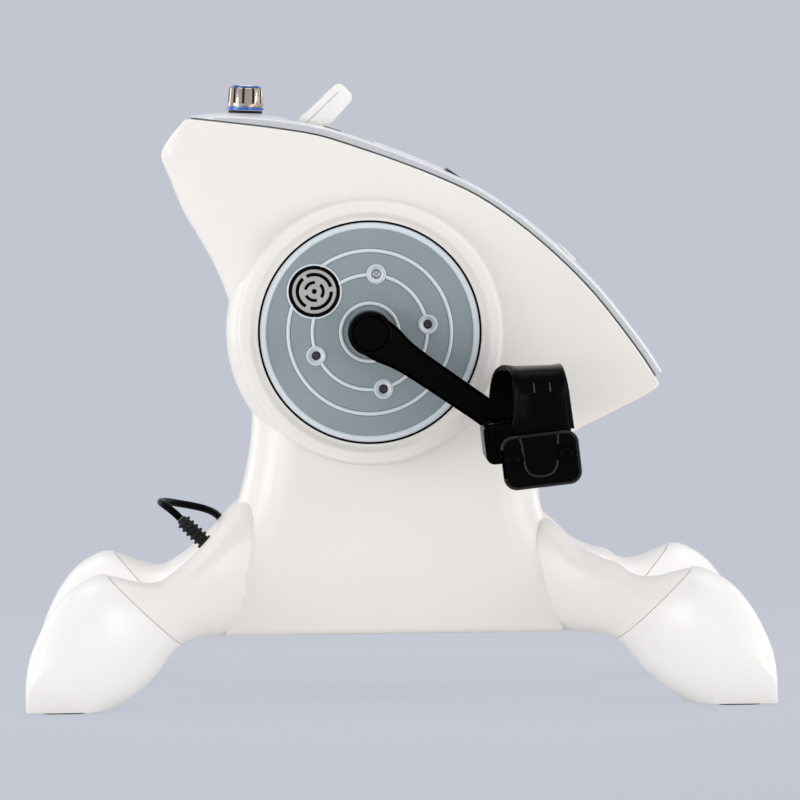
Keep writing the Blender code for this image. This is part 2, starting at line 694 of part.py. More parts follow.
def pedal_body():
    """Block of fins with a plate over its outer end, bored for its spindle."""
    block_end = pedal_end - END_PLATE_THICK
    block = slab(rounded_box(PEDAL_REAR, PEDAL_FRONT, PEDAL_BOTTOM, PEDAL_TOP, 5 * MM, 3),
                 pedal_start, block_end)
    plate = slab(rounded_box(END_PLATE_X - END_PLATE_HALF_WIDTH, END_PLATE_X + END_PLATE_HALF_WIDTH,
                             END_PLATE_Z - END_PLATE_HALF_HEIGHT, END_PLATE_Z + END_PLATE_HALF_HEIGHT, 9 * MM),
                 block_end - 1 * MM, pedal_end)
    tools = []
    slots = 5
    pitch = (PEDAL_FRONT - PEDAL_REAR) / (slots + 1)
    for i in range(slots):
        x = PEDAL_REAR + pitch * (i + 1)
        if x > SPINDLE_R + pitch / 2 or x < -SPINDLE_R - pitch / 2:
            tools.append(box(x - 2.4 * MM, x + 2.4 * MM, PEDAL_TOP - 9 * MM, PEDAL_TOP + 5 * MM,
                             pedal_start + 9 * MM, block_end - 6 * MM))
        tools.append(box(x - 2.4 * MM, x + 2.4 * MM, PEDAL_BOTTOM - 5 * MM, PEDAL_BOTTOM + 6 * MM,
                         pedal_start + 9 * MM, block_end - 6 * MM))
    tools.append(turned([(SPINDLE_R + GAP, pedal_start - 5 * MM), (SPINDLE_R + GAP, block_end - 2 * MM)], 16))
    for x in (-PEDAL_SCREW_SPREAD, PEDAL_SCREW_SPREAD):
        hole = turned([(SCREW_SHANK_R + GAP, pedal_end - SCREW_SHANK), (SCREW_SHANK_R + GAP, pedal_end + 5 * MM)], 10)
        tools.append(moved(hole, Matrix.Translation((PEDAL_SCREW_X + x, PEDAL_SCREW_Z, 0))))
    return combine(combine(block, [plate], "UNION"), tools)


def strap():
    """A band that arches over the foot; one end stands on the tread and the other on the outer plate."""
    inner = pedal_start + 6 * MM
    outer = pedal_end - END_PLATE_THICK + GAP + STRAP_THICK / 2
    base = PEDAL_TOP + GAP
    foot_low = END_PLATE_Z + END_PLATE_HALF_HEIGHT + GAP
    rows = [(inner + (outer - inner) * part, up * MM, rear * MM, front * MM)
            for part, up, rear, front in smooth_line(STRAP_LINE, 2)]
    rows[0] = (inner, base, *rows[0][2:])
    rows[-1] = (outer, foot_low, *rows[-1][2:])
    rim = 2.4 * MM
    lift = 0.9 * MM
    rings = []
    for i, (out, up, rear, front) in enumerate(rows):
        o0, u0 = rows[max(i - 1, 0)][:2]
        o1, u1 = rows[min(i + 1, len(rows) - 1)][:2]
        length = math.hypot(o1 - o0, u1 - u0)
        no, nu = -(u1 - u0) / length, (o1 - o0) / length
        corners = [(rear, -1, 0), (front, -1, 0), (front - rim / 2, 1, lift), (front - rim - lift, 1, 0),
                   (rear + rim + lift, 1, 0), (rear + rim / 2, 1, lift)]
        ring = []
        for x, face, extra in corners:
            away = face * (STRAP_THICK / 2 + extra)
            ring.append(Vector((x, up + nu * away, out + no * away)))
        rings.append(ring)
    return loft(rings)


# Console
def top_at(x):
    """Point, direction and normal of the console's top at this X."""
    for (x0, z0, _), (x1, z1, _) in zip(top_line, top_line[1:]):
        if x0 <= x <= x1:
            t = (x - x0) / (x1 - x0)
            along = Vector((x1 - x0, 0, z1 - z0)).normalized()
            return Vector((x, 0, z0 + (z1 - z0) * t)), along, Vector((-along.z, 0, along.x))
    raise ValueError("no console above this X")


def console_frame(x, y=0.0):
    """Local X down the slope, local Z out of the console, from its top at this X."""
    point, along, normal = top_at(x)
    rotation = Matrix((along, Vector((0, 1, 0)), normal)).transposed().to_4x4()
    drop = COVER_CROWN * (y / COVER_HALF_WIDTH) ** 2
    return Matrix.Translation(point + Vector((0, y, 0)) - normal * drop) @ rotation


def underside(frame, reach):
    """Lowest point of the cover's lower face within this reach of a console frame's origin."""
    back = frame.inverted()
    lower = [back @ Vector((x, 0, z)) for x, z in seam_line(0.0)]
    low = 0.0
    for a, b in zip(lower, lower[1:]):
        for edge in (-reach, reach):
            if a.x < edge < b.x:
                low = min(low, a.lerp(b, (edge - a.x) / (b.x - a.x)).z)
        if -reach < a.x < reach:
            low = min(low, a.z)
    return low


handle_pivot = console_frame(HANDLE_X) @ Vector((0, 0, -HANDLE_PIN_DEPTH))
tray_half = HANDLE_HALF_WIDTH + 1.2 * MM


def tray_frame():
    """Local X down the slope of the well, local Z out of it, from the handle's pivot."""
    start = top_at(HANDLE_X)[0]
    end = top_at(HANDLE_X + HANDLE_LENGTH)[0]
    along = (end - start).normalized()
    normal = Vector((-along.z, 0, along.x))
    return Matrix.Translation(handle_pivot) @ Matrix((along, Vector((0, 1, 0)), normal)).transposed().to_4x4()


def console_cover():
    rings = []
    lower = seam_line(0.0)
    across = 4
    for i, (x, z, depth) in enumerate(top_line):
        nx, nz = outward(top_line, i)
        ring = []
        for step in range(across + 1):
            y = COVER_HALF_WIDTH * (2 * step / across - 1)
            drop = COVER_CROWN * (y / COVER_HALF_WIDTH) ** 2
            drop = min(drop, depth - 1 * MM)
            ring.append(Vector((x - nx * drop, y, z - nz * drop)))
        low_x, low_z = lower[i]
        ring += [Vector((low_x, COVER_HALF_WIDTH, low_z)), Vector((low_x, -COVER_HALF_WIDTH, low_z))]
        rings.append(ring)
    cover = loft(rings)
    floor = HANDLE_PIN_DEPTH - TRAY_DEPTH
    tray = box(-TRAY_REAR - TRAY_WALL, TRAY_FRONT + TRAY_WALL, -tray_half - TRAY_WALL, tray_half + TRAY_WALL,
               floor - TRAY_WALL, HANDLE_PIN_DEPTH - 4 * MM)
    pocket = box(-TRAY_REAR, TRAY_FRONT, -tray_half, tray_half, floor, HANDLE_PIN_DEPTH + 12 * MM)
    pin_hole = moved(turned([(HANDLE_PIN_R + GAP, -tray_half - TRAY_WALL - 2 * MM),
                             (HANDLE_PIN_R + GAP, tray_half + TRAY_WALL + 2 * MM)], 16),
                     Matrix.Rotation(math.radians(90), 4, "X"))
    cover = combine(cover, [moved(tray, tray_frame())], "UNION")
    tools = [moved(pocket, tray_frame()), moved(pin_hole, tray_frame())]
    stem_hole = turned([(KNOB_STEM_R + RUN, -20 * MM), (KNOB_STEM_R + RUN, 10 * MM)], 20)
    tools.append(moved(stem_hole, console_frame(KNOB_X)))
    half_x, half_y = DISPLAY_LENGTH / 2 + GAP, DISPLAY_WIDTH / 2 + GAP
    window = slab(rounded_box(-half_x, half_x, -half_y, half_y, 5 * MM), -DISPLAY_SINK - GAP, 12 * MM)
    tools.append(moved(window, console_frame(DISPLAY_X)))
    view = slab(rounded_box(-half_x + 5 * MM, half_x - 5 * MM, -half_y + 5 * MM, half_y - 5 * MM, 3 * MM),
                -20 * MM, 0)
    tools.append(moved(view, console_frame(DISPLAY_X)))
    for y in (-BUTTON_SPREAD, 0, BUTTON_SPREAD):
        hole = turned([(BUTTON_R + RUN, -20 * MM), (BUTTON_R + RUN, 10 * MM)], 16)
        tools.append(moved(hole, console_frame(BUTTON_X, y)))
    return combine(cover, tools)


def handle_loop(low, high, gap):
    """The handle's outline between two heights of its thickness, with its finger hole."""
    rim = 2.5 * MM
    outline = rounded_box(-HANDLE_HEEL, HANDLE_LENGTH, -HANDLE_HALF_WIDTH, HANDLE_HALF_WIDTH, 6.5 * MM)
    smaller = rounded_box(-HANDLE_HEEL + rim, HANDLE_LENGTH - rim, -HANDLE_HALF_WIDTH + rim,
                          HANDLE_HALF_WIDTH - rim, 5 * MM)
    outer_face_up = high > 0 and low > 0
    levels = [(outline, low), (outline, high - rim), (smaller, high)]
    if not outer_face_up:
        levels = [(smaller, low), (outline, low + rim), (outline, high)]
    block = loft([[Vector((x, y, z)) for x, y in ring] for ring, z in levels])
    hole = slab(rounded_box(HANDLE_ARM - HANDLE_HEEL + 3 * MM, HANDLE_LENGTH - HANDLE_GRIP,
                            -HANDLE_HALF_WIDTH + HANDLE_ARM, HANDLE_HALF_WIDTH - HANDLE_ARM, 6 * MM),
                low - 5 * MM, high + 5 * MM)
    tools = [hole]
    if gap:
        tools.append(moved(turned([(HANDLE_PIN_R + gap, -HANDLE_HALF_WIDTH - 5 * MM),
                                   (HANDLE_PIN_R + gap, HANDLE_HALF_WIDTH + 5 * MM)], 16),
                           Matrix.Rotation(math.radians(90), 4, "X")))
    return moved(combine(block, tools), handle_frame())


def handle_frame():
    """Local X along the handle from its pivot, local Z out of its upper face."""
    angle = math.radians(HANDLE_ANGLE)
    along = Vector((math.cos(angle), 0, math.sin(angle)))
    normal = Vector((-along.z, 0, along.x))
    return Matrix.Translation(handle_pivot) @ Matrix((along, Vector((0, 1, 0)), normal)).transposed().to_4x4()


# Belt drive
def belt():
    """A closed band round both pulleys."""
    dx, dz = MOTOR_X - AXLE_X, MOTOR_Z - AXLE_Z
    base = math.atan2(dz, dx)
    lean = math.acos((PULLEY_R - MOTOR_PULLEY_R) / math.hypot(dx, dz))
    outline = []
    for x, z, pulley_r, start, end, steps in (
            (AXLE_X, AXLE_Z, PULLEY_R, base + lean, base + math.tau - lean, 18),
            (MOTOR_X, MOTOR_Z, MOTOR_PULLEY_R, base - lean, base + lean, 8)):
        # the flat stretches between two points clear the round pulley too
        radius = (pulley_r + GAP) / math.cos((end - start) / steps / 2)
        for i in range(steps + 1):
            angle = start + (end - start) * i / steps
            outline.append((x, z, math.cos(angle), math.sin(angle), radius))
    rings = []
    half = PULLEY_WIDTH / 2 - 1 * MM
    for x, z, cos, sin, radius in outline:
        ring = []
        for extra, y in ((0, -half), (BELT_THICK, -half), (BELT_THICK, half), (0, half)):
            ring.append(Vector((x + (radius + extra) * cos, PULLEY_Y + y, z + (radius + extra) * sin)))
        rings.append(ring)
    return loft(rings, closed=True)


def pulley(radius, bore, x, z, steps):
    half = PULLEY_WIDTH / 2
    lip = PULLEY_FLANGE
    profile = [(bore, -half), (radius + lip, -half), (radius, -half + 0.8 * MM),
               (radius, half - 0.8 * MM), (radius + lip, half), (bore, half)]
    return moved(turned(profile, steps, closed=True), sideways(1, x, z) @ Matrix.Translation((0, 0, PULLEY_Y)))


# Chassis
plate_top = BASE_Z + WALL + GAP + PLATE_THICK


def base_plate():
    half_y = SIDE_PLATE_Y + BASE_PLATE_MARGIN
    return box(BASE_PLATE_REAR, BASE_PLATE_FRONT, -half_y, half_y, BASE_Z + WALL + GAP, plate_top)


def side_plate(side):
    """Upright plate with a bearing hole, standing on the base plate."""
    head = BEARING_R + 9 * MM
    outline = [(-SIDE_PLATE_HALF_FOOT, plate_top + GAP), (SIDE_PLATE_HALF_FOOT, plate_top + GAP)]
    for i in range(9):
        angle = math.radians(180 * i / 8)
        outline.append((head * math.cos(angle), AXLE_Z + head * math.sin(angle)))
    low, high = side * SIDE_PLATE_Y - PLATE_THICK / 2, side * SIDE_PLATE_Y + PLATE_THICK / 2
    plate = loft([[Vector((AXLE_X + x, y, z)) for x, z in outline] for y in (low, high)])
    hole = moved(turned([(BEARING_R + GAP, -20 * MM), (BEARING_R + GAP, 20 * MM)], 18),
                 sideways(1) @ Matrix.Translation((0, 0, side * SIDE_PLATE_Y)))
    tools = [hole]
    if side < 0:
        motor_hole = moved(turned([(MOTOR_R * 0.5, -20 * MM), (MOTOR_R * 0.5, 20 * MM)], 20),
                           sideways(1, MOTOR_X, MOTOR_Z) @ Matrix.Translation((0, 0, side * SIDE_PLATE_Y)))
        tools.append(motor_hole)
    return combine(plate, tools)


# Build
for name, side in (("near", -1), ("far", 1)):
    piece(f"body_shell_{name}", shell(side), WHITE, 0.35)

    out = sideways(side) @ Matrix.Translation((0, 0, disc_seat + GAP))
    rim_in = DISC_R - DISC_RIM
    face = DISC_HEIGHT - 1.6 * MM
    profile = [(DISC_R, 0), (DISC_R - 0.4 * MM, DISC_HEIGHT), (rim_in, DISC_HEIGHT), (rim_in - 0.6 * MM, face)]
    for ring in sorted(LINE_RING_RADII, reverse=True):
        half = LINE_RING_WIDTH / 2
        profile += [(ring + half, face), (ring, face + LINE_RING_RISE), (ring - half, face)]
    profile += [(HUB_RING_R, face), (HUB_RING_R - 1.2 * MM, face + 2 * MM), (HUB_RING_R - 3 * MM, face + 0.6 * MM),
                (HUB_HOLE_R, face + 0.6 * MM), (HUB_HOLE_R, face - DISC_PLATE), (rim_in, face - DISC_PLATE), (rim_in, 0)]
    disc = turned(profile, 26, closed=True)
    tools = []
    bosses = []
    for angle in SCREW_ANGLES:
        turn = math.radians(angle if side < 0 else 180 - angle)
        place = Matrix.Translation((-side * SCREW_CIRCLE_R * math.cos(turn), SCREW_CIRCLE_R * math.sin(turn), 0))
        bosses.append(moved(turned([(SCREW_BOSS_R, face - 1 * MM), (SCREW_BOSS_R - 0.5 * MM, face + 1.2 * MM)], 10), place))
        tools.append(moved(turned([(SCREW_HOLE_R, -5 * MM), (SCREW_HOLE_R, face + 5 * MM)], 8), place))
    turn = math.radians(VENT_ANGLE if side < 0 else 180 - VENT_ANGLE)
    vent_place = Matrix.Translation((-side * VENT_CIRCLE_R * math.cos(turn), VENT_CIRCLE_R * math.sin(turn), 0))
    tools.append(moved(turned([(VENT_R - VENT_RIM, -5 * MM), (VENT_R - VENT_RIM, face + 5 * MM)], 20), vent_place))
    collar = turned([(VENT_R, face - 1 * MM), (VENT_R - 0.4 * MM, face + 1.2 * MM)], 20)
    bosses.append(moved(collar, vent_place))
    disc = combine(combine(disc, bosses, "UNION"), tools)
    piece(f"disc_cover_{name}", moved(disc, out), BLUE_GREY, 0.45)

    grille_r = VENT_R - VENT_RIM - GAP
    grille = turned([(grille_r, face - DISC_PLATE), (grille_r, face - 1.4 * MM), (grille_r - VENT_MOAT, face - 1.4 * MM),
                     (grille_r - VENT_MOAT - 0.4 * MM, face + 0.2 * MM)], 20)
    slots = []
    for radius, width, start in ((12.2 * MM, 2.4 * MM, 15), (6.3 * MM, 2.2 * MM, 60)):
        for quarter in range(4):
            arc = []
            for edge, order in ((radius + width / 2, 1), (radius - width / 2, -1)):
                angles = [math.radians(start + 90 * quarter + 66 * i / 2) for i in range(3)][::order]
                arc += [(edge * math.cos(a), edge * math.sin(a)) for a in angles]
            slots.append(slab(arc, -5 * MM, face + 5 * MM))
    slots.append(turned([(2.1 * MM, -5 * MM), (2.1 * MM, face + 5 * MM)], 10))
    piece(f"vent_grille_{name}", moved(combine(grille, slots), out @ vent_place), BLUE_GREY, 0.45)

    piece(f"crank_arm_{name}", crank_arm(side), BLACK, 0.25)
    cap = turned([(CRANK_CAP_R, crank_front - CRANK_CAP_THICK + GAP), (CRANK_CAP_R, crank_front - 0.4 * MM),
                  (CRANK_CAP_R - 1 * MM, crank_front)], 20)
    piece(f"crank_cap_{name}", moved(cap, sideways(side)), BLACK, 0.3)

    frame = pedal_frame(name, side)
    piece(f"pedal_body_{name}", moved(pedal_body(), frame), BLACK, 0.35)
    piece(f"pedal_strap_{name}", moved(strap(), frame), BLACK, 0.2)
    spindle = turned([(SPINDLE_R, arm_back - 1 * MM), (SPINDLE_R, pedal_end - END_PLATE_THICK - 2 * MM - GAP)], 16)
    piece(f"pedal_spindle_{name}", moved(spindle, sideways(side, *crank_end(side))), STEEL, 0.3, 1.0)
    for number, x in enumerate((-PEDAL_SCREW_SPREAD, PEDAL_SCREW_SPREAD), 1):
        screw = turned([(SCREW_SHANK_R, pedal_end - SCREW_SHANK + GAP), (SCREW_SHANK_R, pedal_end + GAP),
                        (PEDAL_SCREW_R, pedal_end + GAP), (PEDAL_SCREW_R - 1 * MM, pedal_end + 1.8 * MM)], 12)
        place = frame @ Matrix.Translation((PEDAL_SCREW_X + x, PEDAL_SCREW_Z, 0))
        piece(f"pedal_screw_{name}_{number}", moved(screw, place), BLACK, 0.3, 0.5)

    ring = turned([(SHAFT_R + GAP, -BEARING_WIDTH / 2), (BEARING_R, -BEARING_WIDTH / 2),
                   (BEARING_R, BEARING_WIDTH / 2), (SHAFT_R + GAP, BEARING_WIDTH / 2)], 18, closed=True)
    piece(f"bearing_{name}", moved(ring, sideways(1) @ Matrix.Translation((0, 0, side * SIDE_PLATE_Y))), STEEL, 0.3, 1.0)
    piece(f"side_plate_{name}", side_plate(side), STEEL, 0.5, 1.0)

    for label, fore in (("front", 1), ("rear", -1)):
        piece(f"foot_cap_{label}_{name}", foot_cap(fore, side), WHITE, 0.35)
        piece(f"foot_pad_{label}_{name}", to_side(pad_block(fore, GAP), side), BLACK, 0.8)

# Console pieces
piece("console_cover", console_cover(), SILVER_BLUE, 0.3)
half_x, half_y = DISPLAY_LENGTH / 2, DISPLAY_WIDTH / 2
window = slab(rounded_box(-half_x, half_x, -half_y, half_y, 5 * MM), -DISPLAY_SINK, -DISPLAY_SINK + DISPLAY_THICK)
piece("display_window", moved(window, console_frame(DISPLAY_X)), BLACK, 0.1)
board_top = underside(console_frame(DISPLAY_X), half_x) - GAP
board = box(-half_x, half_x, -half_y, half_y, board_top - BOARD_THICK, board_top)
piece("display_board", moved(board, console_frame(DISPLAY_X)), (0.05, 0.25, 0.1), 0.5)
for label, y in (("near", -BUTTON_SPREAD), ("middle", 0), ("far", BUTTON_SPREAD)):
    flange_r = BUTTON_R + 1.8 * MM
    flange_top = underside(console_frame(BUTTON_X, y), flange_r) - GAP
    button = turned([(flange_r, flange_top - BUTTON_FLANGE), (flange_r, flange_top), (BUTTON_R, flange_top),
                     (BUTTON_R, BUTTON_RISE - 0.8 * MM), (BUTTON_R - 1 * MM, BUTTON_RISE)], 16)
    piece(f"push_button_{label}", moved(button, console_frame(BUTTON_X, y)), WHITE, 0.4)

frame = console_frame(KNOB_X)
gasket = turned([(KNOB_STEM_R + RUN, GAP), (KNOB_R - 1 * MM, GAP), (KNOB_R - 1 * MM, GAP + GASKET_THICK),
                 (KNOB_STEM_R + RUN, GAP + GASKET_THICK)], 20, closed=True)
piece("knob_gasket", moved(gasket, frame), BLACK, 0.7)
knob_low = GASKET_THICK + 2 * GAP
base_ring = turned([(KNOB_R - 3 * MM, knob_low), (KNOB_R + 0.2 * MM, knob_low),
                    (KNOB_R + 0.2 * MM, knob_low + KNOB_RING), (KNOB_R - 3 * MM, knob_low + KNOB_RING)], 24, closed=True)
piece("knob_base_ring", moved(base_ring, frame), (0.02, 0.12, 0.5), 0.3, 0.6)


def knob_body():
    """Fluted knob with its stem and a groove for the top ring."""
    low = knob_low + KNOB_RING + GAP
    high = knob_low + KNOB_HEIGHT
    count = 36
    rings = []
    for height, shrink in ((low, 0.0), (high - 3.2 * MM, 0.6 * MM), (high - 2 * MM, 1.2 * MM)):
        ring = []
        for i in range(count):
            angle = math.tau * i / count
            flute = 0.9 * MM if i % 4 == 0 else 0.0
            radius = KNOB_R - shrink - flute
            ring.append(Vector((radius * math.cos(angle), radius * math.sin(angle), height)))
        rings.append(ring)
    body = loft(rings)
    stem = turned([(KNOB_STEM_R, -12 * MM), (KNOB_STEM_R, low + 2 * MM)], 16)
    neck = turned([(KNOB_R - 3 * MM - GAP, knob_low), (KNOB_R - 3 * MM - GAP, low + 2 * MM)], 24)
    top = turned([(KNOB_R - 4 * MM, high - 3 * MM), (KNOB_R - 4 * MM, high - 0.4 * MM),
                  (KNOB_R - 5 * MM, high)], 24)
    return combine(body, [stem, neck, top], "UNION")


piece("knob_body", moved(knob_body(), frame), (0.45, 0.36, 0.28), 0.2, 1.0)
ring_low = knob_low + KNOB_HEIGHT - 2 * MM + GAP
top_ring = turned([(KNOB_R - 4 * MM + GAP, ring_low), (KNOB_R - 1.2 * MM, ring_low),
                   (KNOB_R - 1.6 * MM, ring_low + 1.7 * MM), (KNOB_R - 4 * MM + GAP, ring_low + 1.7 * MM)], 24, closed=True)
piece("knob_top_ring", moved(top_ring, frame), (0.02, 0.12, 0.5), 0.3, 0.6)
pot_top = underside(frame, POT_R) - GAP
pot = turned([(KNOB_STEM_R + RUN, pot_top), (POT_R, pot_top), (POT_R, pot_top - POT_DEPTH),
              (KNOB_STEM_R + RUN, pot_top - POT_DEPTH)], 16, closed=True)
piece("potentiometer", moved(pot, frame), STEEL, 0.4, 0.8)

half_thick = HANDLE_THICK / 2
split = half_thick - HANDLE_TOP_SHELL
piece("handle_upper_shell", handle_loop(split + GAP, half_thick, 0.0), WHITE, 0.35)
piece("handle_lower_shell", handle_loop(-half_thick, split, GAP), WHITE, 0.35)
pin = moved(turned([(HANDLE_PIN_R, -tray_half - TRAY_WALL), (HANDLE_PIN_R, tray_half + TRAY_WALL)], 16),
            Matrix.Rotation(math.radians(90), 4, "X"))
piece("handle_pivot_pin", moved(pin, Matrix.Translation(handle_pivot)), STEEL, 0.3, 1.0)

# Drive train
shaft_half = crank_front - CRANK_CAP_THICK - 2 * GAP
shaft = turned([(SHAFT_R, -shaft_half), (SHAFT_R, shaft_half)], 20)
piece("crankshaft", moved(shaft, sideways(1)), STEEL, 0.3, 1.0)
piece("drive_pulley", pulley(PULLEY_R, SHAFT_R + GAP, AXLE_X, AXLE_Z, 20), BLACK, 0.5)
piece("motor_pulley", pulley(MOTOR_PULLEY_R, MOTOR_SHAFT_R + GAP, MOTOR_X, MOTOR_Z, 12), STEEL, 0.4, 1.0)
piece("drive_belt", belt(), BLACK, 0.8)
motor_face = -SIDE_PLATE_Y + PLATE_THICK / 2 + GAP
motor = turned([(MOTOR_R, motor_face), (MOTOR_R, motor_face + MOTOR_LENGTH - 2 * MM),
                (MOTOR_R - 2 * MM, motor_face + MOTOR_LENGTH)], 20)
motor_boss_end = motor_face + MOTOR_LENGTH
motor_bore = turned([(MOTOR_SHAFT_R + GAP, motor_boss_end - 15 * MM), (MOTOR_SHAFT_R + GAP, motor_boss_end + 5 * MM)], 16)
piece("motor", moved(combine(motor, [motor_bore]), sideways(1, MOTOR_X, MOTOR_Z)), STEEL, 0.5, 0.8)
motor_shaft = turned([(MOTOR_SHAFT_R, motor_boss_end - 14 * MM), (MOTOR_SHAFT_R, PULLEY_Y + PULLEY_WIDTH / 2 + 1 * MM)], 16)
piece("motor_shaft", moved(motor_shaft, sideways(1, MOTOR_X, MOTOR_Z)), STEEL, 0.3, 1.0)

piece("base_plate", base_plate(), STEEL, 0.5, 1.0)
board = box(CONTROL_BOARD_REAR, CONTROL_BOARD_FRONT, -BOARDS_HALF_WIDTH, BOARDS_HALF_WIDTH,
            plate_top + GAP, plate_top + CONTROL_BOARD_HEIGHT)
piece("control_board", board, (0.05, 0.25, 0.1), 0.5)
supply = box(SUPPLY_REAR, SUPPLY_FRONT, -BOARDS_HALF_WIDTH, BOARDS_HALF_WIDTH,
             plate_top + GAP, plate_top + SUPPLY_HEIGHT)
piece("power_supply", supply, STEEL, 0.5, 0.8)

# Mains lead
piece("strain_relief", strain_relief(), BLACK, 0.5)
tip = relief_base + relief_way * (RELIEF_LENGTH + GAP)
coil, coil_ends = coil_points()
coil_entry = coil[0] + coil_ends[0][1] * GAP
coil_way = coil_ends[0][1]
route = [tip + relief_way * 2 * CORD_R, tip + relief_way * 3 * CORD_R]
route += [Vector(point) * MM for point in CORD_BEHIND]
route += [Vector(point) * MM + Vector((0, HALF_WIDTH, 0)) for point in CORD_DROP]
route += [coil_entry + coil_way * 3 * CORD_R, coil_entry + coil_way * 2 * CORD_R]
cord_points = [tip] + even_steps(smooth_line([tuple(point) for point in route], 12), 5 * CORD_R) + [coil_entry]
tube("power_cord", cord_points, CORD_R, 2)
tube("cord_coil", coil, CORD_R, 1)
cord_length = sum((b - a).length for a, b in zip(cord_points, cord_points[1:]))
coil_length = sum((b - a).length for a, b in zip(coil, coil[1:]))
nearest = min((a - b).length for i, a in enumerate(coil) for b in coil[i + 18:]) - 2 * CORD_R
print(f"lead: {cord_length:.3f} m free, {coil_length:.3f} m coiled, least gap in the coil {nearest / MM:.2f} mm")

plug_at = coil[-1] + coil_ends[1][1] * GAP
plug_way = coil_ends[1][1]
plug_frame = Matrix.Translation(plug_at) @ plug_way.to_track_quat("Z", "Y").to_matrix().to_4x4()
plug_outline = rounded_box(-PLUG_HALF_WIDTH, PLUG_HALF_WIDTH, -PLUG_HALF_THICK, PLUG_HALF_THICK, 5 * MM, 3)
plug_sections = ((0.45, 0), (0.55, 6 * MM), (1.0, 16 * MM), (1.0, PLUG_LENGTH - 4 * MM), (0.92, PLUG_LENGTH))
plug = loft([[Vector((x * scale, y * scale, z)) for x, y in plug_outline] for scale, z in plug_sections])
pin_end = PLUG_LENGTH + PLUG_PIN_LENGTH
pin_profile = [(PLUG_PIN_R, PLUG_LENGTH - 2 * MM), (PLUG_PIN_R, pin_end - 1 * MM), (PLUG_PIN_R - 0.8 * MM, pin_end)]
pins = [moved(turned(pin_profile, 10), Matrix.Translation((x, 0, 0))) for x in (-PLUG_PIN_SPREAD, PLUG_PIN_SPREAD)]
piece("plug", moved(combine(plug, pins, "UNION"), plug_frame), BLACK, 0.5)
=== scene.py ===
# %% [markdown]
# # A motorised pedal trainer, dressed for a studio photograph
# The frame that is loaded here is the working model: every solid, joint and size of the trainer.
# This lesson builds the finer pieces that are seen, gives each surface its finish, and lights it.
# Everything is in metres, Z up, with the floor at Z = 0 and the console sloping down towards +X.

# %% Load the working model
from math import copysign, cos, hypot, radians, sin, tau

import bpy
import numpy as np
from mathutils import Matrix, Quaternion, Vector
from mathutils.geometry import interpolate_bezier


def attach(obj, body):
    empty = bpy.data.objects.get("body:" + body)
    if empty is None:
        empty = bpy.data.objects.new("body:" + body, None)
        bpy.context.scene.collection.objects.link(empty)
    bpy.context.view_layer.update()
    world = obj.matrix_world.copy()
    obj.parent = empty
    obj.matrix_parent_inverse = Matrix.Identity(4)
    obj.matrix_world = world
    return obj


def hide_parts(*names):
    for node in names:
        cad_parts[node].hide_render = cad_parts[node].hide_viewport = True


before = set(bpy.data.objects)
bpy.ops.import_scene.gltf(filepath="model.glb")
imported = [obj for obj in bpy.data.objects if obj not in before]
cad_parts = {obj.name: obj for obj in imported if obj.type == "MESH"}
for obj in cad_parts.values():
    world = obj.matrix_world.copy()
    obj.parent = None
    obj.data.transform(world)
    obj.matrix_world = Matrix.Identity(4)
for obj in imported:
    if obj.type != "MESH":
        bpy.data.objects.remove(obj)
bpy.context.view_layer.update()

MM = 0.001
scene = bpy.context.scene

# %% [markdown]
# ## The camera
# The trainer is seen square from its side by a long lens, five metres away and 0.42 m above the floor.
# A camera can be aimed by angles, by a constraint or at a point. A point on the middle plane is the
# plainest to read, and a small turn about the line of sight gives the slight lean of the picture.

# %% Camera
EYE, AIM, LEAN = Vector((-0.1047, -4.9989, 0.420)), Vector((0.0047, 0, 0.211)), radians(-0.7)
camera_data = bpy.data.cameras.new("camera")
camera_data.sensor_width = 36
camera_data.lens = 310
camera_data.clip_end = 60
camera = bpy.data.objects.new("camera", camera_data)
scene.collection.objects.link(camera)
scene.camera = camera
camera.location = EYE
camera.rotation_mode = "QUATERNION"
camera.rotation_quaternion = (AIM - EYE).to_track_quat("-Z", "Y") @ Quaternion((0, 0, 1), LEAN)

# %% [markdown]
# ## Tools of the bench
# Most mouldings here are sections that change along a line: a foot, a strap, a turned disc. Each could be
# extruded ring by ring. Bending a grid over all its sections at once gives the same mesh with its points in a
# known order, so a grid is added, laid over the sections, sewn along its edge and closed at its ends.


# %% Selecting and skinning
def pick(obj):
    """Only this object is selected and active, in object mode."""
    if bpy.context.object and bpy.context.object.mode != "OBJECT":
        bpy.ops.object.mode_set(mode="OBJECT")
    bpy.ops.object.select_all(action="DESELECT")
    bpy.context.view_layer.objects.active = obj
    if obj:
        obj.select_set(True)


def shade(obj, angle=30):
    pick(obj)
    bpy.ops.object.shade_smooth_by_angle(angle=radians(angle))
    return obj


def sew(obj, *steps):
    """Edit-mode steps, each on the whole mesh; then its faces are turned outwards."""
    pick(obj)
    bpy.ops.object.mode_set(mode="EDIT")
    for step in (*steps, lambda: bpy.ops.mesh.normals_make_consistent(inside=False)):
        bpy.ops.mesh.select_all(action="SELECT")
        step()
    bpy.ops.object.mode_set(mode="OBJECT")


def skin(name, sections, loop=False, angle=30):
    """A grid laid over closed sections of equal count, sewn up and closed at its ends, or sewn end to end."""
    rows = list(sections) + ([sections[0]] if loop else [])
    pick(None)
    bpy.ops.mesh.primitive_grid_add(x_subdivisions=len(rows[0]), y_subdivisions=len(rows) - 1, size=1)
    obj = bpy.context.object
    obj.name = name
    points = [point for ring in rows for point in (*ring, ring[0])]
    obj.data.vertices.foreach_set("co", np.array(points, np.float32).ravel())
    steps = [lambda: bpy.ops.mesh.remove_doubles(threshold=0.002 * MM)]
    if not loop:
        steps.append(lambda: bpy.ops.mesh.fill_holes(sides=0))
    sew(obj, *steps)
    return shade(obj, angle)


def circle(radius, height, steps):
    return [Vector((radius * cos(tau * i / steps), radius * sin(tau * i / steps), height))
            for i in range(steps)]


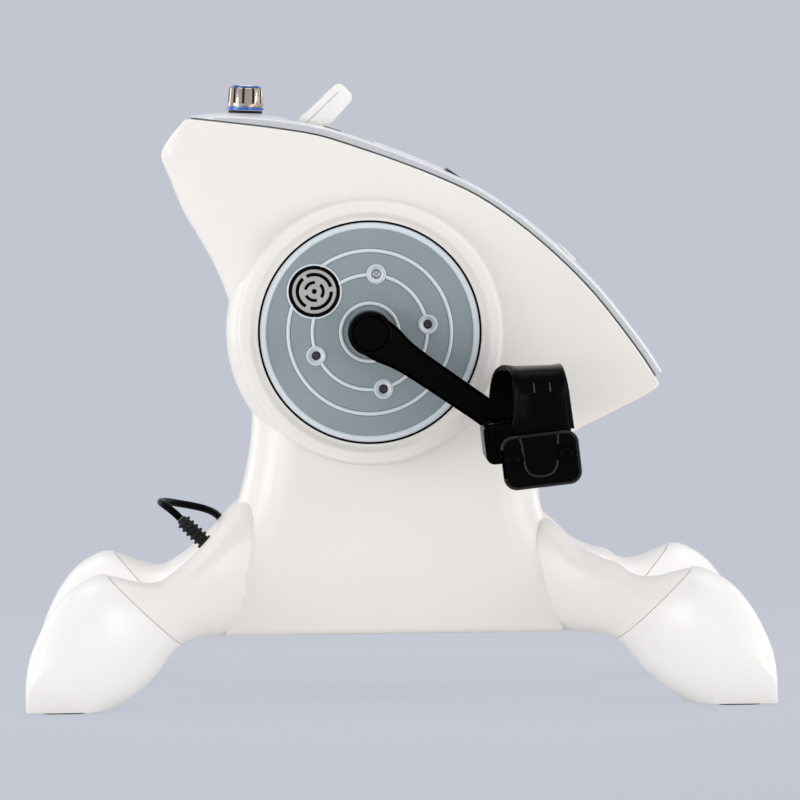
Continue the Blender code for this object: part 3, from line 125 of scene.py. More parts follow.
def turned(name, profile, steps=96, loop=False, angle=30):
    """A lathe shape about local Z from (radius, height) in millimetres."""
    return skin(name, [circle(r * MM, h * MM, steps) for r, h in profile], loop, angle)


# %% [markdown]
# Plates, levers and shells are flat outlines with a thickness and a rounded rim. A Bevel modifier would round
# every edge alike; drawing the rim as a quarter circle of smaller outlines keeps the radius of each rim free.


# %% Outlines and plates
def smooth(points, spans):
    """More points on a smooth curve through the given ones (any number of values in a point)."""
    line = []
    for i in range(len(points) - 1):
        a, b = points[max(i - 1, 0)], points[i]
        c, d = points[i + 1], points[min(i + 2, len(points) - 1)]
        for step in range(spans):
            t = step / spans
            line.append(tuple(0.5 * (2 * q + (r - p) * t + (2 * p - 5 * q + 4 * r - s) * t * t
                                     + (3 * q - p - 3 * r + s) * t ** 3) for p, q, r, s in zip(a, b, c, d)))
    return line + [tuple(points[-1])]


def polar(radius, degrees):
    angle = radians(degrees)
    return radius * cos(angle), radius * sin(angle)


def arc(cx, cy, radius, start, stop, steps):
    """Points of an arc between two angles in degrees."""
    turns = [polar(radius, start + (stop - start) * i / steps) for i in range(steps + 1)]
    return [(cx + x, cy + y) for x, y in turns]


def rounded_box(x0, x1, y0, y1, radius, steps=6):
    x0, x1, y0, y1 = x0 + radius, x1 - radius, y0 + radius, y1 - radius
    corners = ((x1, y1), (x0, y1), (x0, y0), (x1, y0))
    return [point for turn, (cx, cy) in enumerate(corners)
            for point in arc(cx, cy, radius, 90 * turn, 90 * turn + 90, steps)]


def beside(before, point, after, away):
    """A point moved square to the line through its neighbours, to the right of the way the outline runs."""
    (x0, y0), (x1, y1) = before[:2], after[:2]
    length = hypot(x1 - x0, y1 - y0)
    return point[0] + (y1 - y0) / length * away, point[1] - (x1 - x0) / length * away


def smaller(outline, amount):
    """The outline moved inwards; it runs anticlockwise."""
    following = outline[1:] + outline[:1]
    return [beside(outline[i - 1], point, following[i], -amount) for i, point in enumerate(outline)]


def plate(name, outline, low, high, rim_low=0.0, rim_high=0.0, steps=3):
    """A flat outline (mm) with a thickness along local Z. The lower rim is rounded. The upper one is rolled
    over, and each rounded rim is followed by a flat ring, 0.5 mm wide, on its face."""
    turns = [radians(90 * i / steps) for i in range(1, steps + 1)]
    levels = [(0.0, low + rim_low), (0.0, high - rim_high)]
    if rim_low:
        rounding = [(rim_low * (1 - cos(t)), low + rim_low * (1 - sin(t))) for t in reversed(turns)]
        levels = [(rim_low + 0.5, low)] + rounding + levels
    if rim_high:
        levels += [(rim_high * (1 - cos(t)), high - rim_high * (1 - cos(t))) for t in turns]
        levels.append((rim_high + 0.5, high))
    return skin(name, [[Vector((x, y, z)) * MM for x, y in (smaller(outline, inset) if inset else outline)]
                       for inset, z in levels])


# %% [markdown]
# Pieces meet with Boolean cuts, as a mould maker cuts one block with another. The tool piece is used up.


# %% Joining, cutting, placing and copying
def discard(*pieces):
    for piece in pieces:
        bpy.data.objects.remove(piece, do_unlink=True)


def combine(target, tools, operation="DIFFERENCE"):
    for tool in tools:
        pick(target)
        modifier = target.modifiers.new("cut", "BOOLEAN")
        modifier.operation = operation
        modifier.solver = "EXACT"
        modifier.object = tool
        bpy.ops.object.modifier_apply(modifier=modifier.name)
        discard(tool)
    return target


def place(obj, matrix):
    """The place goes into the mesh, so that the object itself stays at the origin."""
    obj.data.transform(matrix)
    if matrix.determinant() < 0:
        obj.data.flip_normals()
    obj.data.update()
    return obj


def copy_of(obj, name, matrix=None):
    twin = obj.copy()
    twin.data = obj.data.copy()
    twin.name = twin.data.name = name
    scene.collection.objects.link(twin)
    return place(twin, matrix) if matrix else twin


def bisect(obj, point, normal):
    """Keeps what lies behind a plane and closes the cut."""
    sew(obj, lambda: bpy.ops.mesh.bisect(plane_co=point, plane_no=normal, use_fill=True, clear_outer=True))
    return shade(obj)


def round_edges(obj, width, sharp):
    """A small Bevel on the hard edges, applied."""
    pick(obj)
    modifier = obj.modifiers.new("rounding", "BEVEL")
    modifier.width = width * MM
    modifier.segments = 3
    modifier.limit_method = "ANGLE"
    modifier.angle_limit = radians(sharp)
    bpy.ops.object.modifier_apply(modifier=modifier.name)
    return shade(obj)


def shift(x=0, y=0, z=0):
    """A move in millimetres."""
    return Matrix.Translation((x * MM, y * MM, z * MM))


def spin(degrees, axis):
    return Matrix.Rotation(radians(degrees), 4, axis)


def axes(x_way, y_way, z_way, at):
    """The place at a point (m) whose local axes run these ways."""
    return Matrix.Translation(at) @ Matrix((x_way, y_way, z_way)).transposed().to_4x4()


SIDES = (("near", -1), ("far", 1))
AXLE = (-18, 263)


def outwards(side):
    """Local Z points out of the trainer on this side, local Y up; the origin is on the middle plane."""
    out, up = Vector((0, side, 0)), Vector((0, 0, 1))
    return axes(up.cross(out), up, out, (AXLE[0] * MM, 0, AXLE[1] * MM))


def sloping(way, at):
    """Local X runs along a way in the middle plane, local Y across the trainer and local Z out of it."""
    return axes(way, Vector((0, 1, 0)), Vector((-way.z, 0, way.x)), at)


# %% [markdown]
# ## Finishes
# Moulded plastic is never one flat colour: its gloss wanders where the tool was polished, it carries a fine
# grain, and handling leaves paler scuffs. One recipe serves all plastics here: broad noise for the colour,
# finer noise for the roughness, and the finest for a bump. It could be painted as images; noise on Object
# coordinates stays sharp at any distance and needs no unwrapping.


# %% Shader nodes
def wire(tree, node, sockets):
    """Gives a node's inputs their values, or links from other sockets."""
    for name, value in sockets.items():
        if isinstance(value, bpy.types.NodeSocket):
            tree.links.new(value, node.inputs[name])
        else:
            node.inputs[name].default_value = value
    return node


def add_node(tree, kind, sockets, operation=None, data_type=None):
    node = tree.nodes.new("ShaderNode" + kind)
    if operation:
        node.operation = operation
    if data_type:
        node.data_type = data_type
    return wire(tree, node, sockets)


# %% The finish recipe
FINISHES = {}


def finish(name, colour, rough, metallic=0.0, coat=0.0, vary=0.03, gloss_drift=0.06, grain=1400.0,
           grain_depth=0.03, scuff=0.0, scuff_colour=None, brushed=None, darkening_low=0.0, specular=0.5):
    made = bpy.data.materials.new(name)
    made.use_nodes = True
    tree = made.node_tree
    where = source = add_node(tree, "TexCoord", {}).outputs["Object"]
    if brushed:
        source = add_node(tree, "Mapping", {"Scale": brushed, "Vector": where}).outputs["Vector"]

    def noise(scale, detail, roughness=0.5):
        sockets = {"Scale": scale, "Detail": detail, "Roughness": roughness, "Vector": source}
        return add_node(tree, "TexNoise", sockets).outputs["Fac"]

    def spread(value, low, high, start=0.3, end=0.7):
        sockets = {"From Min": start, "From Max": end, "To Min": low, "To Max": high, "Value": value}
        return add_node(tree, "MapRange", sockets).outputs["Result"]

    def mix(factor, *colours):
        a, b = [(*c, 1) if isinstance(c, tuple) else c for c in colours]
        return add_node(tree, "Mix", {"Factor": factor, "A": a, "B": b}, data_type="RGBA").outputs["Result"]

    def tinted(share, more=0.0, most=0.95):
        return tuple(min(c * share + more, most) for c in colour)

    shown = mix(spread(noise(9, 4), 0, 1), tinted(1 - vary), tinted(1 + vary))
    if scuff:
        marks = spread(noise(150, 6, 0.65), 0, scuff, 0.60, 0.74)
        shown = mix(marks, shown, scuff_colour or tinted(1.6, 0.03, 0.9))
    # The colour grows darker towards the floor, below 22 mm.
    if darkening_low:
        height = add_node(tree, "SeparateXYZ", {"Vector": where}).outputs["Z"]
        shown = mix(spread(height, darkening_low, 0.0, 0.0, 0.022), shown, tinted(0.8))
    bump = add_node(tree, "Bump", {"Strength": min(grain_depth * 8, 1), "Distance": grain_depth * MM,
                                   "Height": noise(grain, 2)})
    wire(tree, tree.nodes["Principled BSDF"], {
        "Base Color": shown, "Metallic": metallic, "Specular IOR Level": specular, "Coat Weight": coat,
        "Coat Roughness": 0.08, "Normal": bump.outputs["Normal"],
        "Roughness": spread(noise(45, 3), max(rough - gloss_drift, 0.04), min(rough + gloss_drift, 1))})
    FINISHES[name] = made


# %% White, grey and silver plastics
finish("white_shell", (0.80, 0.78, 0.76), 0.36, coat=0.1, vary=0.012, grain_depth=0.02, scuff=0.04)
# Painted shade: darker tones of the white moulding for the drum ring's annulus and the slope inside it.
finish("shell_face_shaded", (0.69, 0.69, 0.66), 0.42, vary=0.02, grain_depth=0.02)
finish("shell_slope_shaded", (0.50, 0.50, 0.48), 0.42, grain_depth=0.02)
finish("white_cap", (0.84, 0.83, 0.82), 0.36, coat=0.1, vary=0.012, grain_depth=0.02, darkening_low=0.3)
# Painted shade: a darker grey for the long sides of the console strip.
finish("strip_side_shade", (0.52, 0.54, 0.57), 0.38, metallic=0.1, grain=2600, grain_depth=0.006)
finish("silver_blue", (0.78, 0.80, 0.83), 0.34, metallic=0.1, coat=0.15, vary=0.02, grain=2600,
       grain_depth=0.006)
finish("disc_grey", (0.262, 0.318, 0.345), 0.42, vary=0.07, grain=2000, grain_depth=0.02, scuff=0.05,
       specular=0.4)
# Painted highlight: the pale tops of the disc's rim, rings, bosses and collar.
finish("disc_painted_highlight", (0.66, 0.72, 0.78), 0.36, grain=2000, grain_depth=0.02)
# Painted shadow: thin dark lines beside the disc's raised rings.
finish("disc_painted_shadow", (0.115, 0.145, 0.165), 0.45, vary=0.08, grain_depth=0.02)
finish("vent_grey", (0.40, 0.41, 0.40), 0.45, vary=0.05, grain_depth=0.02)
finish("ring_blue", (0.012, 0.12, 0.50), 0.25, metallic=0.3, coat=0.4, vary=0.08)
finish("button_white", (0.76, 0.76, 0.76), 0.40, vary=0.02, grain_depth=0.01)
finish("screen_grey", (0.20, 0.23, 0.21), 0.35, vary=0.06, grain=1500, grain_depth=0.004)

# %% Blacks
finish("black_gloss", (0.0012, 0.0012, 0.0014), 0.25, vary=0.15, gloss_drift=0.05, grain=900,
       grain_depth=0.01, scuff=0.03, scuff_colour=(0.02, 0.02, 0.021), specular=0.04)
# Painted highlight: a dark grey for the thin light rims on black parts.
finish("black_painted_highlight", (0.045, 0.046, 0.048), 0.35, vary=0.2, grain=900, grain_depth=0.01)
finish("black_rubber", (0.010, 0.010, 0.0105), 0.6, vary=0.12, grain=1800, grain_depth=0.05, scuff=0.08,
       scuff_colour=(0.04, 0.04, 0.04), specular=0.25)
finish("clear_black", (0.012, 0.014, 0.016), 0.07, coat=1.0, vary=0.1, gloss_drift=0.02, grain_depth=0.002)
finish("seam_dark", (0.06, 0.065, 0.07), 0.6, vary=0.1)
# Painted shade: black for the vent's moat and slots, the screw holes and the gap round the disc.
finish("painted_shade_black", (0.004, 0.004, 0.004), 0.8, vary=0.2, specular=0.1)

# %% Metals and the inside
finish("knob_bronze", (0.60, 0.49, 0.40), 0.20, metallic=1.0, vary=0.05, gloss_drift=0.04, grain=1200,
       grain_depth=0.003, brushed=(1, 1, 14))
# Painted shade in the knob's grooves.
finish("knob_groove_shade", (0.045, 0.035, 0.03), 0.4, metallic=0.6, vary=0.1, grain_depth=0.01)
finish("steel", (0.55, 0.56, 0.58), 0.30, metallic=1.0, vary=0.06, gloss_drift=0.1, grain=700,
       grain_depth=0.01, brushed=(6, 1, 6), scuff=0.1)
finish("supply_case", (0.40, 0.41, 0.42), 0.45, metallic=0.9, vary=0.08, grain=300)
finish("motor_case", (0.10, 0.10, 0.11), 0.42, metallic=0.6, vary=0.1, grain=800, grain_depth=0.04)
finish("board_green", (0.03, 0.20, 0.08), 0.42, vary=0.2, grain=500, grain_depth=0.05)
print("finishes:", len(FINISHES))

# %% [markdown]
# Some pieces get two or three tones: the raised rings of the disc are painted paler than its flats as a
# painted highlight.
# They could be told apart by a painted mask. Here a finish is laid on the faces that a rule picks by their
# place, so the border follows the shape exactly.


# %% Laying a finish on some faces
def paint(obj, look, chosen=None):
    """The finish covers the whole piece, or the faces that chosen picks by centre (mm) and normal."""
    if chosen is None:
        obj.data.materials.clear()
    obj.data.materials.append(FINISHES[look])
    for face in obj.data.polygons if chosen else ():
        if chosen(face.center / MM, face.normal):
            face.material_index = len(obj.data.materials) - 1


def from_axis(point, x=0.0, y=0.0):
    return hypot(point.x - x, point.y - y)


# %% Dressing a piece
def dress(obj, look, body, *nodes, slot=None):
    """Finish (unless painted already), body and the solids it stands for. The slot argument is not used."""
    if look in FINISHES and not obj.data.materials:
        paint(obj, look)
    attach(obj, body)
    if nodes:
        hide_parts(*nodes)
    return obj


# %% [markdown]
# ## The mains lead
# A 5.5 mm round lead leaves the back through its strain relief, bends over the rear of the body, drops behind
# the far rear foot and lies on the floor, where its unseen length is wound into a neat coil. A curve with a
# round bevel is the plain way to make it: one smooth line, one radius. The route follows the working model's,
# with its coil wound a little closer.

# %% Route of the lead
CORD_R, ON_FLOOR = 2.75, 2.85
RELIEF_BASE, RELIEF_LENGTH = Vector((-129.5, 0, 100.5)), 37.3
RELIEF_WAY = Vector((-1, 0, 1)).normalized()
tip = RELIEF_BASE + RELIEF_WAY * RELIEF_LENGTH
BEHIND = [(-166, 4.5, 135.6), (-169.5, 14, 137.6), (-169.5, 25.5, 138), (-165, 36.5, 137.2),
          (-157, 45.5, 135.3), (-147, 52.5, 133)]
DROP = [(-137.5, 60, 130), (-130, 70, 125.5), (-125.5, 83, 118), (-124, 96, 108), (-125.5, 108.5, 96),
        (-130, 121, 81), (-140, 138, 62), (-154, 157, 42), (-168, 176, 24), (-177, 194, 11), (-180, 209, 4.9)]
COIL_AT = Vector((-216, 246, 0))
COIL_MEAN_R, COIL_TURNS, COIL_STEP, PER_TURN = 29, 2.5, 6.1, 24
STRAIGHT_END = 5.5


def coil_line():
    """A layer spirals in on the floor and a second one spirals out on it."""
    spiral, climb = round(COIL_TURNS * PER_TURN), PER_TURN // 2
    reach = COIL_TURNS * COIL_STEP / 2
    points = []
    for i in range(2 * spiral + climb + 1):
        angle = tau * i / PER_TURN
        inward = min(i / spiral, 1.0, 1 - (i - spiral - climb) / spiral)
        rise = min(max((i - spiral) / climb, 0), 1)
        radius = COIL_MEAN_R + reach - 2 * reach * inward
        point = Vector((radius * cos(angle), radius * sin(angle), ON_FLOOR + rise * COIL_STEP))
        points.append(COIL_AT + point)
    return points


coil = coil_line()


def flat_way(end, inner):
    way = end - inner
    return Vector((way.x, way.y, 0)).normalized()


enter, leave = flat_way(coil[0], coil[1]), flat_way(coil[-1], coil[-2])
plug_at = coil[-1] + leave * 5.8
route = [tip, tip + RELIEF_WAY * STRAIGHT_END] + [Vector(p) for p in BEHIND + DROP]
route += [coil[0] + enter * 14, coil[0] + enter * 6] + coil + [plug_at]
print("lead:", len(route), "points")

# %% The lead itself
lead_curve = bpy.data.curves.new("mains_lead", "CURVE")
lead_curve.dimensions = "3D"
lead_curve.bevel_depth = CORD_R * MM
lead_curve.bevel_resolution = 5
lead_curve.resolution_u = 4
lead_curve.use_fill_caps = True
spline = lead_curve.splines.new("BEZIER")
spline.bezier_points.add(len(route) - 1)
for target, point in zip(spline.bezier_points, route):
    target.co = point * MM
    target.handle_left_type = target.handle_right_type = "AUTO"
mains_lead = bpy.data.objects.new("mains_lead", lead_curve)
scene.collection.objects.link(mains_lead)
bpy.context.view_layer.update()
lead_curve.materials.append(FINISHES["black_gloss"])
for a, b in zip(spline.bezier_points, spline.bezier_points[1:]):
    run = interpolate_bezier(a.co, a.handle_right, b.handle_left, b.co, 9)

# %% [markdown]
# The plug on the coil's end is a moulded two-pin one: a soft grip that swells from the lead to a flat body,
# with finger grooves across it. Sections of a rounded box, small at the lead and full at the face, give it.

# %% Plug
plug_frame = Matrix.Translation(plug_at * MM) @ leave.to_track_quat("Z", "Y").to_matrix().to_4x4()
GRIP = [(0.43, 0), (0.46, 3), (0.55, 6), (0.72, 10), (0.92, 14), (1.0, 17), (1.0, 19), (0.95, 20), (1.0, 21),
        (1.0, 23), (0.95, 24), (1.0, 25), (1.0, 32), (0.98, 34), (0.92, 36)]
plug_sections = [[Vector((x * scale, y * scale, z)) * MM for x, y in rounded_box(-13, 13, -7, 7, 5)]
                 for scale, z in GRIP]
plug_body = place(skin("mains_plug", plug_sections), plug_frame)
pins = []
for x in (-9, 9):
    pin = turned("mains_plug_pin", [(2.2, 35), (2.2, 53.6), (1.9, 54.6), (1.3, 55)], 24)
    pins.append(place(pin, plug_frame @ shift(x)))
pick(pins[0])
pins[1].select_set(True)
bpy.ops.object.join()
plug_pins = pins[0]
plug_pins.name = "mains_plug_pins"
dress(plug_body, "black_rubber", "housing", "plug", slot="black_gloss")
dress(plug_pins, "steel", "housing", slot="steel")
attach(mains_lead, "housing")
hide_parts("power_cord", "cord_coil")

# %% [markdown]
# The strain relief keeps the lead from being bent sharply at the wall: a tapered rubber sleeve cut into ribs.
# Each rib is a soft bulge between two grooves, so it is turned on the lathe from a profile that waves.

# %% Strain relief
relief_frame = Matrix.Translation(RELIEF_BASE * MM) @ RELIEF_WAY.to_track_quat("Z", "Y").to_matrix().to_4x4()
profile = [(8.8, -4.9), (8.8, -3.3), (6.6, -3.3), (6.6, 0.3), (8.4, 0.3), (8.8, 0.7), (8.8, 1.5), (8.4, 1.9)]
ribs, start, stop = 8, 2.3, 34.5
for rib in range(ribs):
    radius = 6.2 - 0.6 * rib / (ribs - 1)
    pitch = (stop - start) / ribs
    low = start + rib * pitch
    profile += [(4.3, low + 0.02 * pitch), (4.3, low + 0.44 * pitch), (radius - 0.3, low + 0.50 * pitch),
                (radius, low + 0.58 * pitch), (radius, low + 0.86 * pitch),
                (radius - 0.3, low + 0.95 * pitch)]
profile += [(4.3, stop + 0.1), (3.7, stop + 0.4), (3.5, 36.6), (2.9, 37)]
relief = place(turned("relief_sleeve", profile, 32, angle=50), relief_frame)
dress(relief, "black_rubber", "housing", "strain_relief")

# %% [markdown]
# ## The body
# Two moulded halves meet on the middle plane. The side outline is a crest that sweeps from the tall rear
# corner to the nose, a waist, and a foot at each corner. Its flat side rolls over to the edges with a radius
# that changes along the outline, so the half is built as rings: each outline point moves in by its own
# radius.

# %% Outline of the body
TOP_LINE = [
    (-144, 419.5, 2.5), (-123, 421, 6.5), (-102, 420, 8), (-80, 417.5, 8.5), (-51, 412.3, 8.5),
    (-22, 403, 8.5), (7, 392, 8), (35, 380.2, 7.5), (64, 365.6, 7), (93, 345.6, 7), (122, 320.6, 7),
    (150, 292, 7.5), (179, 254.6, 8), (193, 233, 8)]
FRONT_LINE = [
    (189, 224, 2), (187.5, 220.5, 3), (180, 215.5, 6), (171, 210.5, 11), (149, 199, 20), (128, 188, 28),
    (112, 173, 33), (104, 155, 36), (104, 138, 36), (111, 118, 34), (121, 99, 30), (127, 80, 24),
    (125, 60, 14), (118, 46, 5)]
BACK_LINE = [
    (-124, 46, 5), (-134, 60, 12), (-138, 80, 16), (-137, 93, 18), (-122, 108, 24), (-117, 124, 30),
    (-113, 141, 36), (-108, 161, 36), (-104, 185, 36), (-103, 212, 36), (-107, 245, 36), (-115, 275, 36),
    (-126, 306, 36), (-139, 331, 34), (-150, 350, 30), (-160, 375, 22), (-165.5, 391, 12), (-159, 404, 8),
    (-148, 416.5, 3)]
HALF_WIDTH, WALL = 72, 3
top_fine = smooth(TOP_LINE, 4)


def seam(line, extra):
    """The line under the console cover, lowered by extra."""
    ends = [line[0], *line, line[-1]]
    return [beside(before, point, after, point[2] + extra)
            for before, point, after in zip(ends, line, ends[2:])]


def body_outline(spans, inset=0.0, open_top=0.0):
    """(x, z, radius) clockwise from the rear end of the seam."""
    upper = seam(smooth(TOP_LINE, spans), 0.3)
    front, back = smooth(FRONT_LINE[3:] if inset else FRONT_LINE, spans), smooth(BACK_LINE, spans)
    base = [(118 + (-124 - 118) * i / 12, 46, 5) for i in range(1, 12)]
    outline = [(x, z, 1.5) for x, z in upper] + front + base + back
    if not inset:
        return outline
    tops = len(upper)
    rear, fore = Vector(outline[0][:2]), Vector(outline[tops - 1][:2])
    rear = rear + (Vector(outline[spans][:2]) - rear).normalized() * inset
    fore = fore + (Vector(outline[tops - 1 - spans][:2]) - fore).normalized() * inset
    outline[0], outline[tops - 1] = (*rear, 1.5), (*fore, 1.5)
    following = outline[1:] + outline[:1]
    return [(*beside(outline[i - 1], point, following[i], -open_top if i < tops else inset),
             max(point[2] - inset, 0.5))
            for i, point in enumerate(outline)]


def pillow(name, outline, half_width, start, steps):
    """The outline is drawn out from the middle plane and then rolled inwards by each point's own radius."""
    following = outline[1:] + outline[:1]
    rings = [[Vector((x, start, z)) * MM for x, z, _ in outline]]
    for step in range(steps + 1):
        angle = radians(90 * step / steps)
        ring = []
        for i, point in enumerate(outline):
            x, z = beside(outline[i - 1], point, following[i], point[2] * (1 - cos(angle)))
            ring.append(Vector((x, half_width - point[2] * (1 - sin(angle)), z)) * MM)
        rings.append(ring)
    return skin(name, rings)


# %% [markdown]
# Each foot grows out of the body, dips, rises to a ridge and falls to the floor, swinging outwards all the
# way. Its sections are squarish ovals; a superellipse gives one with a single number for its squareness.

# %% Feet and drum
FOOT_SECTIONS = [
    (82, 47, 128, 10, 62), (104, 46.5, 143, 12, 70), (119, 45.5, 134, 14, 80), (133, 45, 118, 20, 92),
    (147, 44.5, 104, 32, 107), (160, 38.5, 94, 46, 123), (171, 25.5, 87.5, 60, 138),
    (185, 12.5, 88.5, 76, 153), (199, 3, 93, 90, 165), (212, -5, 95.5, 102, 173), (224, -13, 91, 112, 178),
    (236, -16, 82.5, 120, 181), (247, -16, 69, 126, 181), (255.5, -14, 53.5, 131, 179),
    (262, -10, 37, 137, 175), (264.5, -3, 22, 144, 168)]
FRONT_LEG_DROP, SQUARENESS = 16, 2.7
SEAM_POINT, SEAM_LEAN = (186, 74), radians(45.5)


def foot(name, fore, inset=0.0, spans=3, around=44, proud=0.0):
    """A leg in front (1) or behind (-1). The tops of the front ones are lower where they leave the body."""
    rings = []
    for x, z0, z1, y0, y1 in smooth(FOOT_SECTIONS, spans):
        if inset and x > FOOT_SECTIONS[-1][0] - inset:
            break
        if fore > 0:
            z1 -= FRONT_LEG_DROP * min(max((157 - x) / 30, 0), 1)
        half_y, half_z = (y1 - y0) / 2 - inset + proud, (z1 - z0) / 2 - inset + proud
        ring = []
        for i in range(around):
            c, s = cos(tau * i / around), sin(tau * i / around)
            y = (y0 + y1) / 2 + copysign(abs(c) ** (2 / SQUARENESS), c) * half_y
            z = (z0 + z1) / 2 + copysign(abs(s) ** (2 / SQUARENESS), s) * half_z
            ring.append(Vector((fore * x, y, z)) * MM)
        rings.append(ring)
    return skin(name, rings)


def seam_plane(fore, further=0.0):
    """The plane in which a cap meets its leg."""
    normal = Vector((fore * sin(SEAM_LEAN), 0, -cos(SEAM_LEAN)))
    return (Vector((fore * SEAM_POINT[0], 0, SEAM_POINT[1])) + normal * further) * MM, normal


DRUM = [
    (102.8, 0.5), (102.8, 36), (102.5, 44), (101.7, 51), (100.4, 57.5), (98.7, 63.5), (96.9, 68.5),
    (95.6, 72.5), (94.8, 76.5), (94.4, 80), (94, 82.4), (93.2, 83.9), (91.8, 84.5), (87.2, 84.4), (86, 84.1),
    (85, 83.3), (83.4, 81.2), (82.4, 80.0), (81.4, 79.5), (78, 79.4)]
DRUM_INSIDE = [(99.8, -5), (99.8, 36), (97.4, 52), (92, 64), (84, 68)]

# %% [markdown]
# One half is assembled: body, drum and feet are joined; the space inside, the well for the disc and the hole
# of the strain relief are cut. The other half is its mirror image. A flat side has very large faces beside
# fine ones, and weighted normals let the large ones decide how it shades.

# %% The two halves
def from_axle(point):
    return hypot(point.x - AXLE[0], point.z - AXLE[1])


half = pillow("body_half", body_outline(3), HALF_WIDTH, 0.15, 8)
parts = [place(turned("drum", DRUM, 120), outwards(1))]
spaces = [pillow("space", body_outline(1, WALL, 8), HALF_WIDTH - WALL, -5, 3),
          place(turned("drum_space", DRUM_INSIDE, 48), outwards(1))]
for fore in (1, -1):
    parts.append(bisect(foot("leg", fore), *seam_plane(fore, -0.3)))
    spaces.append(bisect(foot("leg_space", fore, WALL, 1, 12), *seam_plane(fore, 4)))
spaces += [place(turned("well", [(80.1, 71), (80.1, 95)], 120), outwards(1)),
           place(turned("opening", [(69.6, 60), (69.6, 80)], 60), outwards(1)),
           place(turned("relief_hole", [(6.9, -9), (6.9, 6)], 32), relief_frame)]
combine(half, parts, "UNION")
combine(half, spaces)
shade(half, 32)
for name, side in SIDES:
    shell = copy_of(half, f"shell_{name}", Matrix.Scale(side, 4, (0, 1, 0)))
    pick(shell)
    bpy.ops.object.modifier_add(type="WEIGHTED_NORMAL")
    shell.modifiers[-1].keep_sharp = True
    bpy.ops.object.modifier_apply(modifier=shell.modifiers[-1].name)
    dress(shell, "white_shell", "housing", f"body_shell_{name}")
paint(half, "white_shell")
# Painted shade: the annulus of the drum ring and the slope inside it are painted darker than the white shell.
paint(half, "shell_face_shaded", lambda c, n: c.y > 84 and 86 < from_axle(c) < 92.5)
paint(half, "shell_slope_shaded", lambda c, n: c.y > 79.2 and 80.3 < from_axle(c) < 86 and n.y > 0.1)
print("shell:", len(half.data.polygons), "faces")
discard(half)

# %% [markdown]
# A white cap is pushed over the end of each foot. It stands a hair proud of the leg, its rim is rounded, and
# a shallow facet is scooped from its outer side near the floor. Cutting the same foot with planes keeps the
# two in line, and a Bevel rounds the rims afterwards.

# %% Foot caps
SCOOP_WAY = Vector((0, 0.93, -0.36))
cap = foot("cap", 1, proud=0.45)
point, normal = seam_plane(1)
bisect(cap, point, -normal)
bisect(cap, Vector((0, 0, 1)) * MM, Vector((0, 0, -1)))
bisect(cap, Vector((0, 178, 22)) * MM, SCOOP_WAY)
round_edges(cap, 1.3, 28)
for label, fore in (("front", 1), ("rear", -1)):
    for name, side in SIDES:
        twin = copy_of(cap, f"cap_{label}_{name}", Matrix.Diagonal((fore, side, 1, 1)))
        dress(shade(twin), "white_cap", "housing", f"foot_cap_{label}_{name}")
discard(cap)

# %% [markdown]
# ## The console
# A silver-blue strip covers the top. It crowns a little across its width and its long edges are rounded. Its
# openings hold the handle's tray, the knob's stem, the display window and three buttons.


# %% Places on the console
CROWN = 2.6


def console_frame(x, y=0.0):
    """Local X runs down the slope and local Z out of the console, from its top at this X."""
    for (x0, z0, _), (x1, z1, _) in zip(TOP_LINE, TOP_LINE[1:]):
        if x0 <= x <= x1:
            along = Vector((x1 - x0, 0, z1 - z0)).normalized()
            height = z0 + (z1 - z0) * (x - x0) / (x1 - x0)
    crowned = Vector((x, y, height)) - Vector((-along.z, 0, along.x)) * CROWN * (y / 70) ** 2
    return sloping(along, crowned * MM)


KNOB_X, DISPLAY_X, BUTTON_X = -105, 66, 126
BUTTONS = (("near", -30), ("middle", 0), ("far", 30))
handle_pivot = Vector((-64.08, 0, 403.7)) * MM
tray_frame = sloping(Vector((47, 0, -14.12)).normalized(), handle_pivot)


# %% Console cover
lower = seam(top_fine, 0.0)
across = [(-70, 2.4), (-69.7, 1.4), (-69, 0.7), (-67.8, 0.2), (-66, 0)] + [(y, 0) for y in range(-60, 61, 10)]
across += [(-y, drop) for y, drop in across[4::-1]]
sections = []
for i, (x, z, depth) in enumerate(top_fine):
    nx, nz = (x - lower[i][0]) / depth, (z - lower[i][1]) / depth
    ring = []
    for y, edge in across:
        drop = min(CROWN * (y / 70) ** 2 + edge, depth - 1.1)
        ring.append(Vector((x - nx * drop, y, z - nz * drop)) * MM)
    for y, above in ((70, 0.9), (70, 0), (-70, 0), (-70, 0.9)):
        ring.append(Vector((lower[i][0] + nx * above, y, lower[i][1] + nz * above)) * MM)
    sections.append(ring)
cover = skin("console_strip", sections)
TRAY_FLOOR, TRAY_WALL = -11.0, 2.2
tray = plate("tray", rounded_box(-16.2, 53.2, -51.4, 51.4, 4), TRAY_FLOOR - TRAY_WALL, 5.5)
combine(cover, [place(tray, tray_frame)], "UNION")
knob_frame, display_frame = console_frame(KNOB_X), console_frame(DISPLAY_X)
tools = [place(plate("pocket", rounded_box(-14, 51, -49.2, 49.2, 3), TRAY_FLOOR, 22), tray_frame),
         place(turned("stem_hole", [(3.6, -20), (3.6, 10)], 32), knob_frame),
         place(plate("recess", rounded_box(-31.3, 31.3, -44.3, 44.3, 5), -5.3, 12), display_frame),
         place(plate("view", rounded_box(-26.3, 26.3, -39.3, 39.3, 3), -20, 0), display_frame)]
for _, y in BUTTONS:
    tool = turned("button_hole", [(8.6, -20), (8.6, -0.9), (9.4, 0.1), (9.4, 10)], 48)
    tools.append(place(tool, console_frame(BUTTON_X, y)))
combine(cover, tools)


